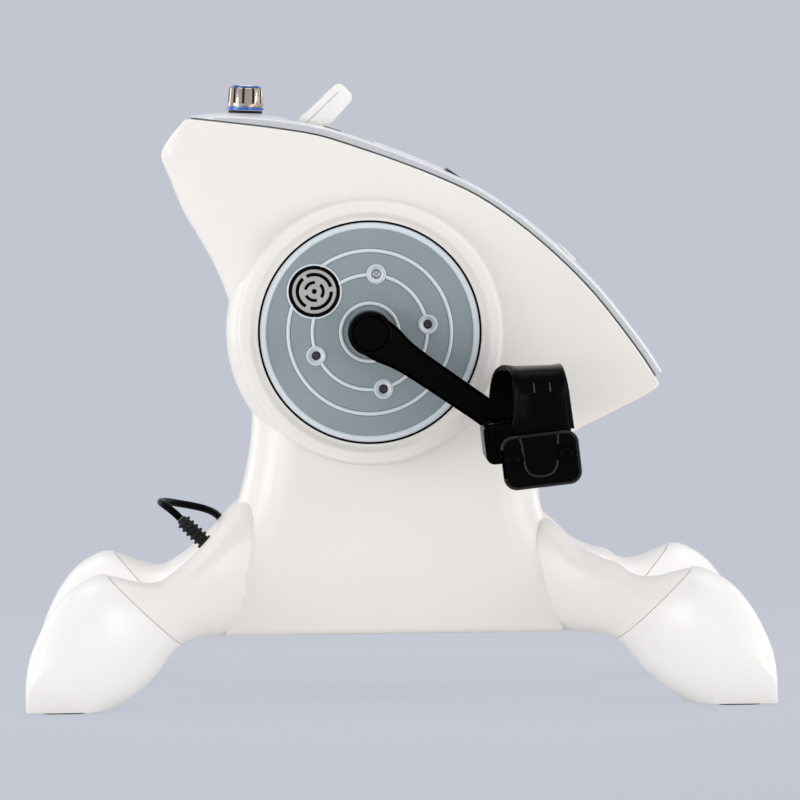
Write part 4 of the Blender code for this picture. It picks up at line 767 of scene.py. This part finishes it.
def by_seam(centre, normal):
    """The lowest 0.9 mm of the cover's two long sides, which is the shadow line over the shells."""
    if abs(centre.y) < 69.9:
        return False
    reach = []
    for (x0, z0), (x1, z1) in zip(lower, lower[1:]):
        length = (x1 - x0) ** 2 + (z1 - z0) ** 2
        share = min(max(((centre.x - x0) * (x1 - x0) + (centre.z - z0) * (z1 - z0)) / length, 0), 1)
        reach.append(hypot(centre.x - x0 - share * (x1 - x0), centre.z - z0 - share * (z1 - z0)))
    return min(reach) < 0.55


paint(cover, "silver_blue")
# Painted shade: the long sides of the strip are painted darker than its top.
paint(cover, "strip_side_shade", lambda c, n: abs(n.y) > 0.7 and abs(c.y) > 69)
paint(cover, "seam_dark", by_seam)
dress(shade(cover, 32), "silver_blue", "housing", "console_cover")
for name, side in SIDES:
    buffer = plate(f"tray_buffer_{name}", rounded_box(-6.5, 6.5, -0.9, 0.9, 0.8, 3), -1.2, 0.75, 0, 0.3)
    dress(place(buffer, console_frame(-42, side * 50.6)), "black_rubber", "housing")

# %% [markdown]
# The window is a smoked panel with a softened rim, set a little below the strip, over a pale screen. The
# buttons are low domes, and each sinks 1.2 mm when it is pressed.

# %% Window, screen and buttons
window = plate("smoked_window", rounded_box(-31, 31, -44, 44, 5), -5, -2.6, 0, 0.6)
dress(place(window, display_frame), "clear_black", "housing", "display_window")
screen = plate("screen_panel", rounded_box(-17, 17, -30, 30, 2), -2.58, -2.3, 0, 0.15)
dress(place(screen, display_frame), "screen_grey", "housing", slot="clear_black")
BUTTON_LINE = [(9.8, -12.4), (9.8, -10.8), (8, -10.8), (8, 1.0), (7.7, 1.5), (7.1, 1.85), (5.8, 1.95),
               (5.2, 1.7), (4.6, 1.55), (2.4, 1.5), (0.6, 1.5)]
for label, y in BUTTONS:
    button = turned(f"button_cap_{label}", BUTTON_LINE, 48)
    place(button, console_frame(BUTTON_X, y))
    dress(button, "button_white", f"button_{label}", f"push_button_{label}", slot="white_shell")

# %% [markdown]
# The speed knob is a fluted bronze cap on a black gasket between two thin blue rings. Eleven narrow grooves
# run down it and die out above its base; a circle whose radius dips at each groove, repeated at several
# heights, makes flutes that fade.

# %% Knob
FIRST_GROOVE = radians(-98)


def fluted(radius, height, depth, around=176, grooves=11):
    """A circle of shallow lobes with a narrow groove between each two."""
    ring = []
    for i in range(around):
        share = (i * grooves / around) % 1 - 0.5
        lobe = 0.35 * (2 * share) ** 2 * min(depth, 1)
        groove = depth if abs(share) > 0.415 else 0.0
        r = radius - max(lobe, groove)
        angle = tau * (i / around) + FIRST_GROOVE
        ring.append(Vector((r * cos(angle), r * sin(angle), height)) * MM)
    return ring


KNOB_LEVELS = [
    (9.7, 2.6, 0), (9.7, 4.9, 0), (12.6, 4.9, 0), (13, 5.3, 0), (13, 7.4, 0), (12.95, 7.9, 1.3),
    (12.6, 17.6, 1.3), (12.3, 18.3, 1.2), (11.7, 18.7, 0.8), (9.1, 18.7, 0), (9.0, 20.2, 0), (8.7, 20.5, 0),
    (7.4, 20.3, 0), (4, 20.1, 0), (0.5, 20.05, 0)]
knob = skin("speed_knob", [fluted(*level) for level in KNOB_LEVELS], angle=38)
paint(knob, "knob_bronze")
# Painted shade: the walls of the grooves are painted a dark bronze.
paint(knob, "knob_groove_shade", lambda c, n: 7.5 < c.z < 18.6 and 9.8 < from_axis(c) < 12.15 and abs(n.z) < 0.5)
dress(place(knob, knob_frame), "knob_bronze", "knob", "knob_body")

# %% Rings and gasket of the knob
TOP_BAND = [(9.3, 18.9), (10.6, 18.9), (11.0, 19.2), (10.9, 19.7), (10.5, 20.1), (9.3, 20.2)]
BASE_BAND = [(10, 2.6), (13, 2.6), (13.3, 2.9), (13.3, 4.3), (13, 4.6), (10, 4.6)]
WASHER = [(3.6, 0.3), (12, 0.3), (12.2, 0.6), (12.2, 2), (12, 2.3), (3.6, 2.3)]
for name, profile, look, body, node in (("knob_top_band", TOP_BAND, "ring_blue", "knob", "knob_top_ring"),
                                        ("knob_base_band", BASE_BAND, "ring_blue", "knob", "knob_base_ring"),
                                        ("knob_washer", WASHER, "black_rubber", "housing", "knob_gasket")):
    dress(place(turned(name, profile, 64, True), knob_frame), look, body, node)

# %% [markdown]
# ## The carrying handle
# The handle is a rounded loop that folds into its tray. Seen from the side it is a bar with a round end, with
# a thin dark joint between its two shells. The plan outline gives the loop, a bar with a round tip gives the
# side, and what both share is the handle. It is then cut along the joint.

# %% Handle
HANDLE_ANGLE, ON_SIDE = radians(47), spin(90, "X")
handle_frame = sloping(Vector((cos(HANDLE_ANGLE), 0, sin(HANDLE_ANGLE))), handle_pivot)
BAR_CORNERS = ((42.4, 2.9, 4.2, 0), (-1, 6.6, 4, 90), (-1, -5, 4, 180), (40.6, -3.2, 5.8, 270))
loop = plate("loop", rounded_box(-5, 47, -48, 48, 8), -9, 11)
bar_outline = [point for cx, cz, radius, start in BAR_CORNERS
               for point in arc(cx, cz, radius, start, start + 90, 14)]
bar = place(plate("bar", bar_outline, -60, 60), ON_SIDE)
combine(loop, [bar], "INTERSECT")
combine(loop, [plate("finger_hole", rounded_box(11, 32, -35, 35, 6), -20, 20)])
round_edges(loop, 0.6, 50)
joint = place(plate("joint_line", [(7, 4.1), (40.5, 1.9), (40.5, 2.4), (7, 4.6)], -52, 52), ON_SIDE)
combine(joint, [plate("joint_core", rounded_box(0, 60, -46.8, 46.8, 4), -20, 20)])
combine(loop, [joint])
upper = copy_of(loop, "handle_top")
joint_point, joint_normal = Vector((7, 0, 4.35)) * MM, Vector((2.2, 0, 33.5)).normalized()
bisect(upper, joint_point, -joint_normal)
bisect(loop, joint_point, joint_normal)
loop.name = "handle_base"
combine(loop, [place(turned("pin_hole", [(2.8, -60), (2.8, 60)], 32), ON_SIDE)])
dress(place(shade(upper), handle_frame), "white_cap", "handle", "handle_upper_shell", slot="white_shell")
dress(place(shade(loop), handle_frame), "white_cap", "handle", "handle_lower_shell", slot="white_shell")

# %% [markdown]
# ## The discs
# A blue-grey cover closes each side. It has a stepped rim, two thin raised rings, four screw bosses on
# the inner ring, a collar for the vent and a raised lip round the hub. The tops of the rim, the rings, the
# bosses and the collar are painted pale as painted highlights, and thin painted shadow lines run beside the
# rings, the hub lip and the rim. It is turned on the lathe, and what is not round about the axle is joined
# and cut afterwards. Both sides are the same moulding.

# %% Disc cover
SEAT, FACE = 71.3, 6.0
profile = [(78.6, 0), (78.6, 6.4), (78.2, 7.2), (77.4, 7.6), (75.6, 7.6), (74.8, 7.3), (74.4, 6.6),
           (74.1, FACE)]
for ring in (58.4, 41):
    profile += [(ring + out, FACE + up) for out, up in ((1.8, 0), (1.3, 0), (0.95, 0.55), (0.4, 0.9),
                                                        (-0.4, 0.9), (-0.95, 0.55), (-1.3, 0), (-1.8, 0))]
profile += [(22.6, FACE), (22.1, FACE), (21.8, 7.2), (21.2, 7.9), (20.4, 8), (19.6, 7.7), (19.1, 7.0),
            (18.7, 6.6), (15.9, 6.6), (15.5, 6.2), (15.5, 3.4), (74.4, 3.4), (74.4, 0)]
disc = turned("disc", profile, 128, True, 34)
BOSS = [(7, 5), (7, 6.3), (6.8, 6.9), (6.3, 7.2), (5.8, 7.25)]
BOSS_HOLE = [(3.1, -5), (3.1, 4.2), (3.9, 5.6), (5.3, 7.0), (5.9, 7.5), (5.9, 12)]
COLLAR = [(19.8, 5), (19.8, 6.6), (19.6, 7.1), (19.2, 7.3), (18.8, 7.2), (18.5, 6.8)]
boss_places = [shift(*polar(41.8, angle)) for angle in (83, 7, -77, -157)]
vent_at = shift(*polar(49.2, 143))
bosses = [place(turned("boss", BOSS, 40), at) for at in boss_places]
holes = [place(turned("boss_hole", BOSS_HOLE, 40), at) for at in boss_places]
bosses.append(place(turned("collar", COLLAR, 72), vent_at))
holes.append(place(turned("vent_hole", [(18.2, -5), (18.2, 15)], 72), vent_at))
combine(disc, bosses, "UNION")
combine(disc, holes)
shade(disc, 34)
boss_centres = [at.translation / MM for at in boss_places]
vent_centre = vent_at.translation / MM
# Painted shadow: thin dark rings beside the raised rings, the hub lip and the rim.
PAINTED_SHADOW_RINGS = ((56.5, 57.2), (59.6, 60.3), (39.1, 39.8), (42.2, 42.9), (22, 22.7), (73.9, 74.5))


def near_boss(c, low, high):
    return c.z > 3.5 and any(low < from_axis(c, b.x, b.y) < high for b in boss_centres)


def from_vent(c):
    return from_axis(c, vent_centre.x, vent_centre.y)


def clear_of_bosses(c):
    return from_vent(c) > 19.9 and not near_boss(c, -1, 7.05)


paint(disc, "disc_grey")
# Painted shadow: the flat faces in these thin rings are painted dark.
paint(disc, "disc_painted_shadow", lambda c, n: n.z > 0.9 and 5.9 < c.z < 6.05 and clear_of_bosses(c)
      and any(low < from_axis(c) < high for low, high in PAINTED_SHADOW_RINGS))
# Painted highlight: the tops of the rim, the rings, the boss walls and the vent collar get a pale finish.
paint(disc, "disc_painted_highlight", lambda c, n: c.z > 6.05 and n.z > -0.5 and clear_of_bosses(c)
      and from_axis(c) > 19.9)
paint(disc, "disc_painted_highlight", lambda c, n: near_boss(c, 3.2, 7.1) and c.z > 4.5 and abs(n.z) < 0.999)
paint(disc, "disc_painted_highlight", lambda c, n: c.z > 6.02 and 18.3 < from_vent(c) < 19.85)
# Painted shade: the walls of the screw holes and of the vent hole are painted black.
paint(disc, "painted_shade_black", lambda c, n: near_boss(c, -1, 3.2) or from_vent(c) < 18.25)
# Painted shade: a black ring fills the gap round the disc, where there is only shade.
GAP_SHADE_RING = [(78.75, 71.1), (79.95, 71.1), (79.95, 76.4), (79.6, 76.8), (79.1, 76.8), (78.75, 76.4)]
for name, side in SIDES:
    out = outwards(side) @ shift(0, 0, SEAT)
    dress(copy_of(disc, f"disc_face_{name}", out), "disc_grey", "housing", f"disc_cover_{name}")
    gap_shade = place(turned(f"disc_gap_shade_{name}", GAP_SHADE_RING, 128, True), outwards(side))
    dress(gap_shade, "painted_shade_black", "housing", slot="black_rubber")
discard(disc)

# %% [markdown]
# In each boss sits a cross-head screw; the top one stands forward in bright steel, and the three sunk ones
# have a dark finish as painted shade. The vent is a small plate of arc slots inside a moat painted black as
# shade, with a dark sheet behind it as painted shade, so that the slots read black from any side.


# %% Screws of the disc
screw = turned("screw", [(2.9, 1.2), (2.9, 2.2), (2.5, 2.7), (1.6, 3.0), (0.3, 3.1)], 24)
cross = [place(plate("cross", rounded_box(-1.9, 1.9, -0.32, 0.32, 0.2, 2), 2.3, 5), spin(turn, "Z"))
         for turn in (20, 110)]
combine(screw, cross)
for name, side in SIDES:
    for number, at in enumerate(boss_places, 1):
        # Painted shade: the three sunk screws get the dark motor_case finish, while the raised top one is
        # bright steel.
        rise, look = (2.6, "steel") if number == 1 else (0.0, "motor_case")
        out = outwards(side) @ shift(0, 0, SEAT + rise) @ at
        dress(copy_of(screw, f"disc_screw_{name}_{number}", out), look, "housing", slot="steel")
discard(screw)

# %% Vent
GRILLE = [(17.9, 3.6), (17.9, 4.4), (15.9, 4.4), (15.8, 6.0), (15.3, 6.5), (14.4, 6.55), (14.1, 6.3),
          (10.4, 6.3), (10.1, 6.5), (8.9, 6.5), (8.6, 6.3), (0.5, 6.3)]
SLOTS = ((10.9, 13.4, ((15, 117), (131, 239), (-104, -1))), (5.3, 7.5, ((84, 168), (-41, 49), (-155, -73))))
grille = turned("grille", GRILLE, 96)
slots = [turned("slot_middle", [(1.8, -5), (1.8, 15)], 24)]
for low, high, spans in SLOTS:
    for start, stop in spans:
        outline = arc(0, 0, high, start, stop, 16) + arc(0, 0, low, start, stop, 16)[::-1]
        slots.append(plate("slot", outline, -5, 15))
combine(grille, slots)
paint(grille, "vent_grey")
# Painted shade: the moat and the walls of the slots are painted black.
paint(grille, "painted_shade_black", lambda c, n: from_axis(c) > 15.75 or abs(n.z) < 0.3)
# Painted shade: a dark sheet behind the slots stands for the shade inside them.
shade_sheet = turned("shade_sheet", [(17.8, 2.0), (17.8, 3.4), (0.5, 3.4)], 48)
for name, side in SIDES:
    out = outwards(side) @ shift(0, 0, SEAT) @ vent_at
    dress(copy_of(grille, f"vent_{name}", out), "disc_grey", "housing", f"vent_grille_{name}")
    dress(copy_of(shade_sheet, f"vent_shade_sheet_{name}", out), "painted_shade_black", "housing", slot="black_rubber")
discard(grille, shade_sheet)

# %% [markdown]
# ## Cranks
# Each crank is a glossy black casting: a deep round boss on the shaft, fillets that run into a straight arm,
# and a round eye for the pedal spindle. The arm is a flat outline with rounded rims, joined to a turned boss.

# %% Crank arms
CRANK_BACK, CRANK_FRONT, ARM_BACK, CRANK_LENGTH = 82.6, 112.6, 98.6, 118
CRANK_TURNS = {"near": -35, "far": 35}
upper_side = smooth([(CRANK_LENGTH, 12), (CRANK_LENGTH - 8, 11.4), (CRANK_LENGTH - 20, 9.9), (80, 9.9),
                     (50, 10.3), (34, 10.9), (24, 12.2), (15, 14.2), (7, 15.0), (0, 14.6), (-6, 11.5),
                     (-9, 6)], 4)
arm_outline = arc(CRANK_LENGTH, 0, 12, -84, 84, 14) + upper_side + [(x, -y) for x, y in reversed(upper_side)]
arm = plate("arm", arm_outline, ARM_BACK, CRANK_FRONT - 0.3, 1.6, 1.8, 4)
boss = turned("boss", [(15.9, CRANK_BACK), (15.9, CRANK_FRONT - 1.6), (15.6, CRANK_FRONT - 0.8),
                       (14.9, CRANK_FRONT - 0.2), (14.2, CRANK_FRONT)], 72)
combine(boss, [arm], "UNION")
combine(boss, [turned("bore", [(8.3, 70), (8.3, 109.6)], 48),
               turned("socket", [(12.4, 109.3), (12.4, 111.6), (13, 112.3), (13, 120)], 64),
               place(turned("eye", [(5.3, 90), (5.3, 120)], 48), shift(CRANK_LENGTH))])
shade(boss, 32)
HUB_CAP = [(12.1, 109.9), (12.1, 111.9), (11.8, 112.4), (11.2, 112.6), (9.6, 112.6), (9.3, 112.3),
           (8.9, 112.2), (0.5, 112.2)]
for name, side in SIDES:
    turned_out = outwards(side) @ spin(CRANK_TURNS[name], "Z")
    dress(copy_of(boss, f"crank_{name}", turned_out), "black_gloss", "crank", f"crank_arm_{name}")
    cap = place(turned(f"hub_cap_{name}", HUB_CAP, 64), outwards(side))
    dress(cap, "black_gloss", "crank", f"crank_cap_{name}")
discard(boss)

# %% [markdown]
# ## Pedals
# A pedal is a ribbed block that turns on its spindle, with a plate over its outer end. A glossy strap arches
# over the foot from the block to the plate. The strap is a thin band with a double raised rim on both edges,
# so its section is drawn once and carried along the arch.


# %% Where a pedal is
PEDAL_ANGLES, PEDAL_TILTS = {"near": -35, "far": 145}, {"near": -6, "far": -29}


def pedal_frame(name, side):
    """Local X along the tread, Y up from it and Z outwards from the spindle."""
    x, z = polar(CRANK_LENGTH, PEDAL_ANGLES[name])
    tilt = spin(PEDAL_TILTS[name], "Y").to_3x3()
    at = ((AXLE[0] + x) * MM, 0, (AXLE[1] + z) * MM)
    return axes(tilt @ Vector((1, 0, 0)), tilt @ Vector((0, 0, 1)), Vector((0, side, 0)), at)


# %% Pedal block
PEDAL_START, PEDAL_END = 116.6, 200.6
TREAD_REAR, TREAD_LENGTH, TREAD_BARS = -20, 61, 6
block = plate("block", rounded_box(-20, 41, -21, 7.5, 6, 6), PEDAL_START, PEDAL_END - 7, 1.2, 0.8)
plate_outline = rounded_box(-9.8, 45.2, -40.3, -2.3, 9, 8)
end_plate = plate("end_plate", plate_outline, PEDAL_END - 8, PEDAL_END, 0.8, 1.5, 4)
shield_line = smooth([(3.6, -3.2), (4.6, -8.5), (5.1, -18), (5.4, -24.5), (7.2, -28.8), (9.6, -31.2),
                      (13, -32.6), (17.6, -33), (22, -32.6), (25.2, -31), (27.6, -28.4), (29.2, -24.5),
                      (30.3, -18), (31.4, -8.5), (32.4, -3.2)], 3)
shield = plate("shield", shield_line, PEDAL_END - 2, PEDAL_END + 0.9, 0, 0.8, 3)
combine(block, [end_plate, shield], "UNION")
plate_screws = [shift(16.7 + x, -18.5) for x in (-18.8, 18.8)]
tools = []
for i in range(TREAD_BARS - 1):
    x = TREAD_REAR + TREAD_LENGTH / TREAD_BARS * (i + 1)
    for low, high in ((-1.5, 12.5), (-26, -15)):
        if low < -2 or abs(x) > 8:
            outline = rounded_box(x - 2.4, x + 2.4, low, high, 1.2, 2)
            tools.append(plate("groove", outline, PEDAL_START + 9, PEDAL_END - 13))
for i in range(3):
    x = -17.4 + 3.9 * i
    outline = rounded_box(x, x + 2.3, -18.6 + i, 3.4, 1.1, 4)
    tools.append(plate("rib_gap", outline, PEDAL_END - 12, PEDAL_END - 5))
tools.append(turned("spindle_hole", [(5.3, 100), (5.3, PEDAL_END - 9)], 40))
for at in plate_screws:
    tools.append(place(turned("screw_hole", [(2.3, PEDAL_END - 5.5), (2.3, PEDAL_END + 5)], 20), at))
    tools.append(place(turned("screw_seat", [(6.6, PEDAL_END - 0.5), (7.2, PEDAL_END + 3)], 40), at))
combine(block, tools)
shade(block, 32)
paint(block, "black_gloss")
# Painted highlight: the rims of the end plate and of the shield are painted paler.
paint(block, "black_painted_highlight", lambda c, n: c.z > PEDAL_END - 1.6 and 0.2 < n.z < 0.95
      and from_axis(c, -2.1, -18.5) > 8 and from_axis(c, 35.5, -18.5) > 8)
print("pedal block:", len(block.data.polygons), "faces")

# %% Strap
STRAP_LINE = [
    (0.0, 9.3, -12, 37), (0.0, 19, -11.5, 38.5), (0.02, 29, -9.5, 40), (0.10, 37, -6.5, 40.5),
    (0.25, 41, -2.5, 40.5), (0.46, 42, 1, 40.5), (0.72, 42, 3.4, 41), (0.89, 39.5, 4.2, 41.6),
    (0.97, 34, 4.2, 42.3), (1.0, 26, 4, 42.8), (1.0, 16, 3, 43), (1.0, 6, 0.3, 43.2), (1.0, -2, -5, 43.5)]
RIM = [(0.0, -1.5), (0.0, 0.8), (0.5, 1.9), (1.2, 2.4), (1.9, 2.2), (2.4, 1.6), (2.9, 1.45), (3.4, 1.75),
       (3.9, 2.0), (4.5, 1.8), (5.0, 1.5)]
inner, outer = PEDAL_START + 6, PEDAL_END - 7 + 0.3 + 1.5


def leaning(x, up):
    """How much lower the strap lies towards its front, once it has left the block."""
    return 0.085 * min(max((up - 8) / 26, 0), 1) * (x - 20)


rows = [(inner + (outer - inner) * part, up, rear, front) for part, up, rear, front in smooth(STRAP_LINE, 5)]
rows[0] = (inner, 7.8, *rows[0][2:])
rows[-1] = (outer, -2.0, *rows[-1][2:])
sections = []
for i, (out, up, rear, front) in enumerate(rows):
    o0, u0 = rows[max(i - 1, 0)][:2]
    o1, u1 = rows[min(i + 1, len(rows) - 1)][:2]
    length = hypot(o1 - o0, u1 - u0)
    no, nu = -(u1 - u0) / length, (o1 - o0) / length
    ring = [(rear + along, away) for along, away in RIM]
    ring += [(front - along, away) for along, away in reversed(RIM)]
    sections.append([Vector((x, up + nu * away - leaning(x, up), out + no * away)) * MM for x, away in ring])
strap = skin("strap", sections, angle=38)

# %% [markdown]
# Two short dashes stand on the strap. They could be pressed out of it. A thin bead for each, half sunk in the
# strap and carried along the same arch, leaves the strap's own mesh alone. A round-headed screw holds the
# plate at each side.

# %% Dashes, screws and both pedals
outer_rows = [row for row in rows if row[0] > (inner + outer) / 2 and 25 < row[1] < 33]
dashes = []
for x in (18.6, 29.8):
    dash = []
    for out, up, _, _ in outer_rows:
        centre = Vector((x, up - leaning(x, up), out + 1.25))
        dash.append([(centre + Vector((p.x, 0, p.y))) * MM for p in circle(0.5, 0, 8)])
    dashes.append(skin("dash", dash))
HEAD = [(2, -5.2), (2, -0.3), (5.6, -0.3), (5.6, 0.3), (5.1, 1.1), (4.0, 1.6), (3.0, 1.7), (2.6, 1.5),
        (2.4, 0.4), (0.5, 0.2)]
head = turned("head", [(radius, PEDAL_END + height) for radius, height in HEAD], 40)
for name, side in SIDES:
    at, body = pedal_frame(name, side), f"pedal_{name}"
    dress(copy_of(block, f"pedal_block_{name}", at), "black_gloss", body, f"pedal_body_{name}")
    dress(copy_of(strap, f"foot_strap_{name}", at), "black_gloss", body, f"pedal_strap_{name}")
    for number, dash in enumerate(dashes, 1):
        # Painted highlight: the dashes take the same pale grey.
        dress(copy_of(dash, f"strap_dash_{name}_{number}", at), "black_painted_highlight", body, slot="black_gloss")
    for number, screw_at in enumerate(plate_screws, 1):
        twin = copy_of(head, f"plate_screw_{name}_{number}", at @ screw_at)
        dress(twin, "black_gloss", body, f"pedal_screw_{name}_{number}")
discard(block, strap, head, *dashes)

# %% [markdown]
# ## Solids that stay
# The shaft, bearings, plates, pulleys, belt, motor, boards, pads and the handle's pin keep their working
# shape. Each gets the finish of its own material, so that it also looks right when the covers are off.

# %% Finishes of the working solids
KEPT = {
    "steel": ["crankshaft", "bearing_far", "bearing_near", "side_plate_far", "side_plate_near", "base_plate",
              "handle_pivot_pin", "motor_pulley", "motor_shaft", "pedal_spindle_far", "pedal_spindle_near",
              "potentiometer"],
    "motor_case": ["motor", "drive_pulley"],
    "board_green": ["control_board", "display_board"],
    "supply_case": ["power_supply"],
    "black_rubber": ["drive_belt", "foot_pad_front_far", "foot_pad_front_near", "foot_pad_rear_far",
                     "foot_pad_rear_near"],
}
for look, names in KEPT.items():
    for name in names:
        slots_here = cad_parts[name].data.materials
        slots_here.clear()
        slots_here.append(FINISHES[look])
left = [n for n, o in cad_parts.items() if not o.hide_render
        and not any(n in names for names in KEPT.values())]
print("nodes without a finish:", left)

# %% [markdown]
# ## Studio
# The backdrop is a pale blue-grey sweep that is only a colour to the camera. The floor keeps a faint shadow
# of the object. Low, broad soft boxes stand to the left and right, with two small ones in front that reach
# under the drum; one hangs above, and two weak ones behind give the white edges their glow. The side that
# faces the camera stays a shade darker, as in the photograph.

# %% Floor and world
BACKDROP = (0.539, 0.565, 0.638, 1)
pick(None)
bpy.ops.mesh.primitive_plane_add(size=30, location=(0, 0, -0.0002))
floor = bpy.context.object
floor.name = "studio_floor"
floor_look = bpy.data.materials.new("studio_floor")
floor_look.use_nodes = True


def backdrop_rays(tree):
    """1 for what the camera, a mirror or a glass sees, 0 for the light on the object."""
    path = add_node(tree, "LightPath", {})
    total = path.outputs["Is Camera Ray"]
    for name in ("Is Glossy Ray", "Is Transmission Ray"):
        add = add_node(tree, "Math", {0: total, 1: path.outputs[name]}, "ADD")
        add.use_clamp = True
        total = add.outputs["Value"]
    return total


tree = floor_look.node_tree
tree.nodes.remove(tree.nodes["Principled BSDF"])
seen = add_node(tree, "Emission", {"Color": BACKDROP})
matt = add_node(tree, "BsdfDiffuse", {"Color": (0.90, 0.90, 0.90, 1)})
reach = add_node(tree, "VectorMath", {0: add_node(tree, "TexCoord", {}).outputs["Object"]}, "LENGTH")
fade = add_node(tree, "MapRange", {"From Min": 0.35, "From Max": 1.1, "To Min": 0.94, "To Max": 1.0,
                                   "Value": reach.outputs["Value"]})
share = add_node(tree, "Math", {0: backdrop_rays(tree), 1: fade.outputs["Result"]}, "MULTIPLY")
blend = add_node(tree, "MixShader", {"Fac": share.outputs["Value"], 1: matt.outputs["BSDF"],
                                     2: seen.outputs["Emission"]})
wire(tree, tree.nodes["Material Output"], {"Surface": blend.outputs["Shader"]})
floor.data.materials.append(floor_look)

world = bpy.data.worlds.new("studio")
scene.world = world
world.use_nodes = True
tree = world.node_tree
around = wire(tree, tree.nodes["Background"], {"Color": (1.0, 0.99, 0.975, 1), "Strength": 0.70})
backdrop = add_node(tree, "Background", {"Color": BACKDROP, "Strength": 1.0})
blend = add_node(tree, "MixShader", {"Fac": backdrop_rays(tree), 1: around.outputs["Background"],
                                     2: backdrop.outputs["Background"]})
wire(tree, tree.nodes["World Output"], {"Surface": blend.outputs["Shader"]})


# %% Soft boxes
def soft_box(name, at, aim_at, size, watts, colour=(1, 1, 1)):
    lamp = bpy.data.lights.new(name, "AREA")
    lamp.shape = "RECTANGLE"
    lamp.size, lamp.size_y = size
    lamp.energy = watts
    lamp.color = colour
    obj = bpy.data.objects.new(name, lamp)
    obj.location = at
    obj.rotation_euler = (Vector(aim_at) - Vector(at)).to_track_quat("-Z", "Y").to_euler()
    scene.collection.objects.link(obj)


soft_box("box_left", (-2.4, -1.1, 0.3), (0, 0, 0.15), (1.2, 1.6), 26, (1, 0.985, 0.97))
soft_box("box_right", (2.4, -1.1, 0.3), (0, 0, 0.15), (1.2, 1.6), 27, (1, 0.985, 0.97))
soft_box("box_top", (0, 0.1, 2.4), (0, 0, 0.2), (2.2, 1.4), 14)
soft_box("low_left", (-1.5, -2.2, 0.22), (-0.1, 0, 0.08), (1.0, 0.4), 4, (1, 0.99, 0.98))
soft_box("low_right", (1.5, -2.2, 0.22), (0.1, 0, 0.08), (1.0, 0.4), 4.5, (1, 0.99, 0.98))
soft_box("edge_left", (-1.9, 1.5, 0.9), (0, 0, 0.25), (0.8, 1.8), 9)
soft_box("edge_right", (1.9, 1.5, 0.9), (0, 0, 0.25), (0.8, 1.8), 9)
scene.view_settings.view_transform = "Standard"
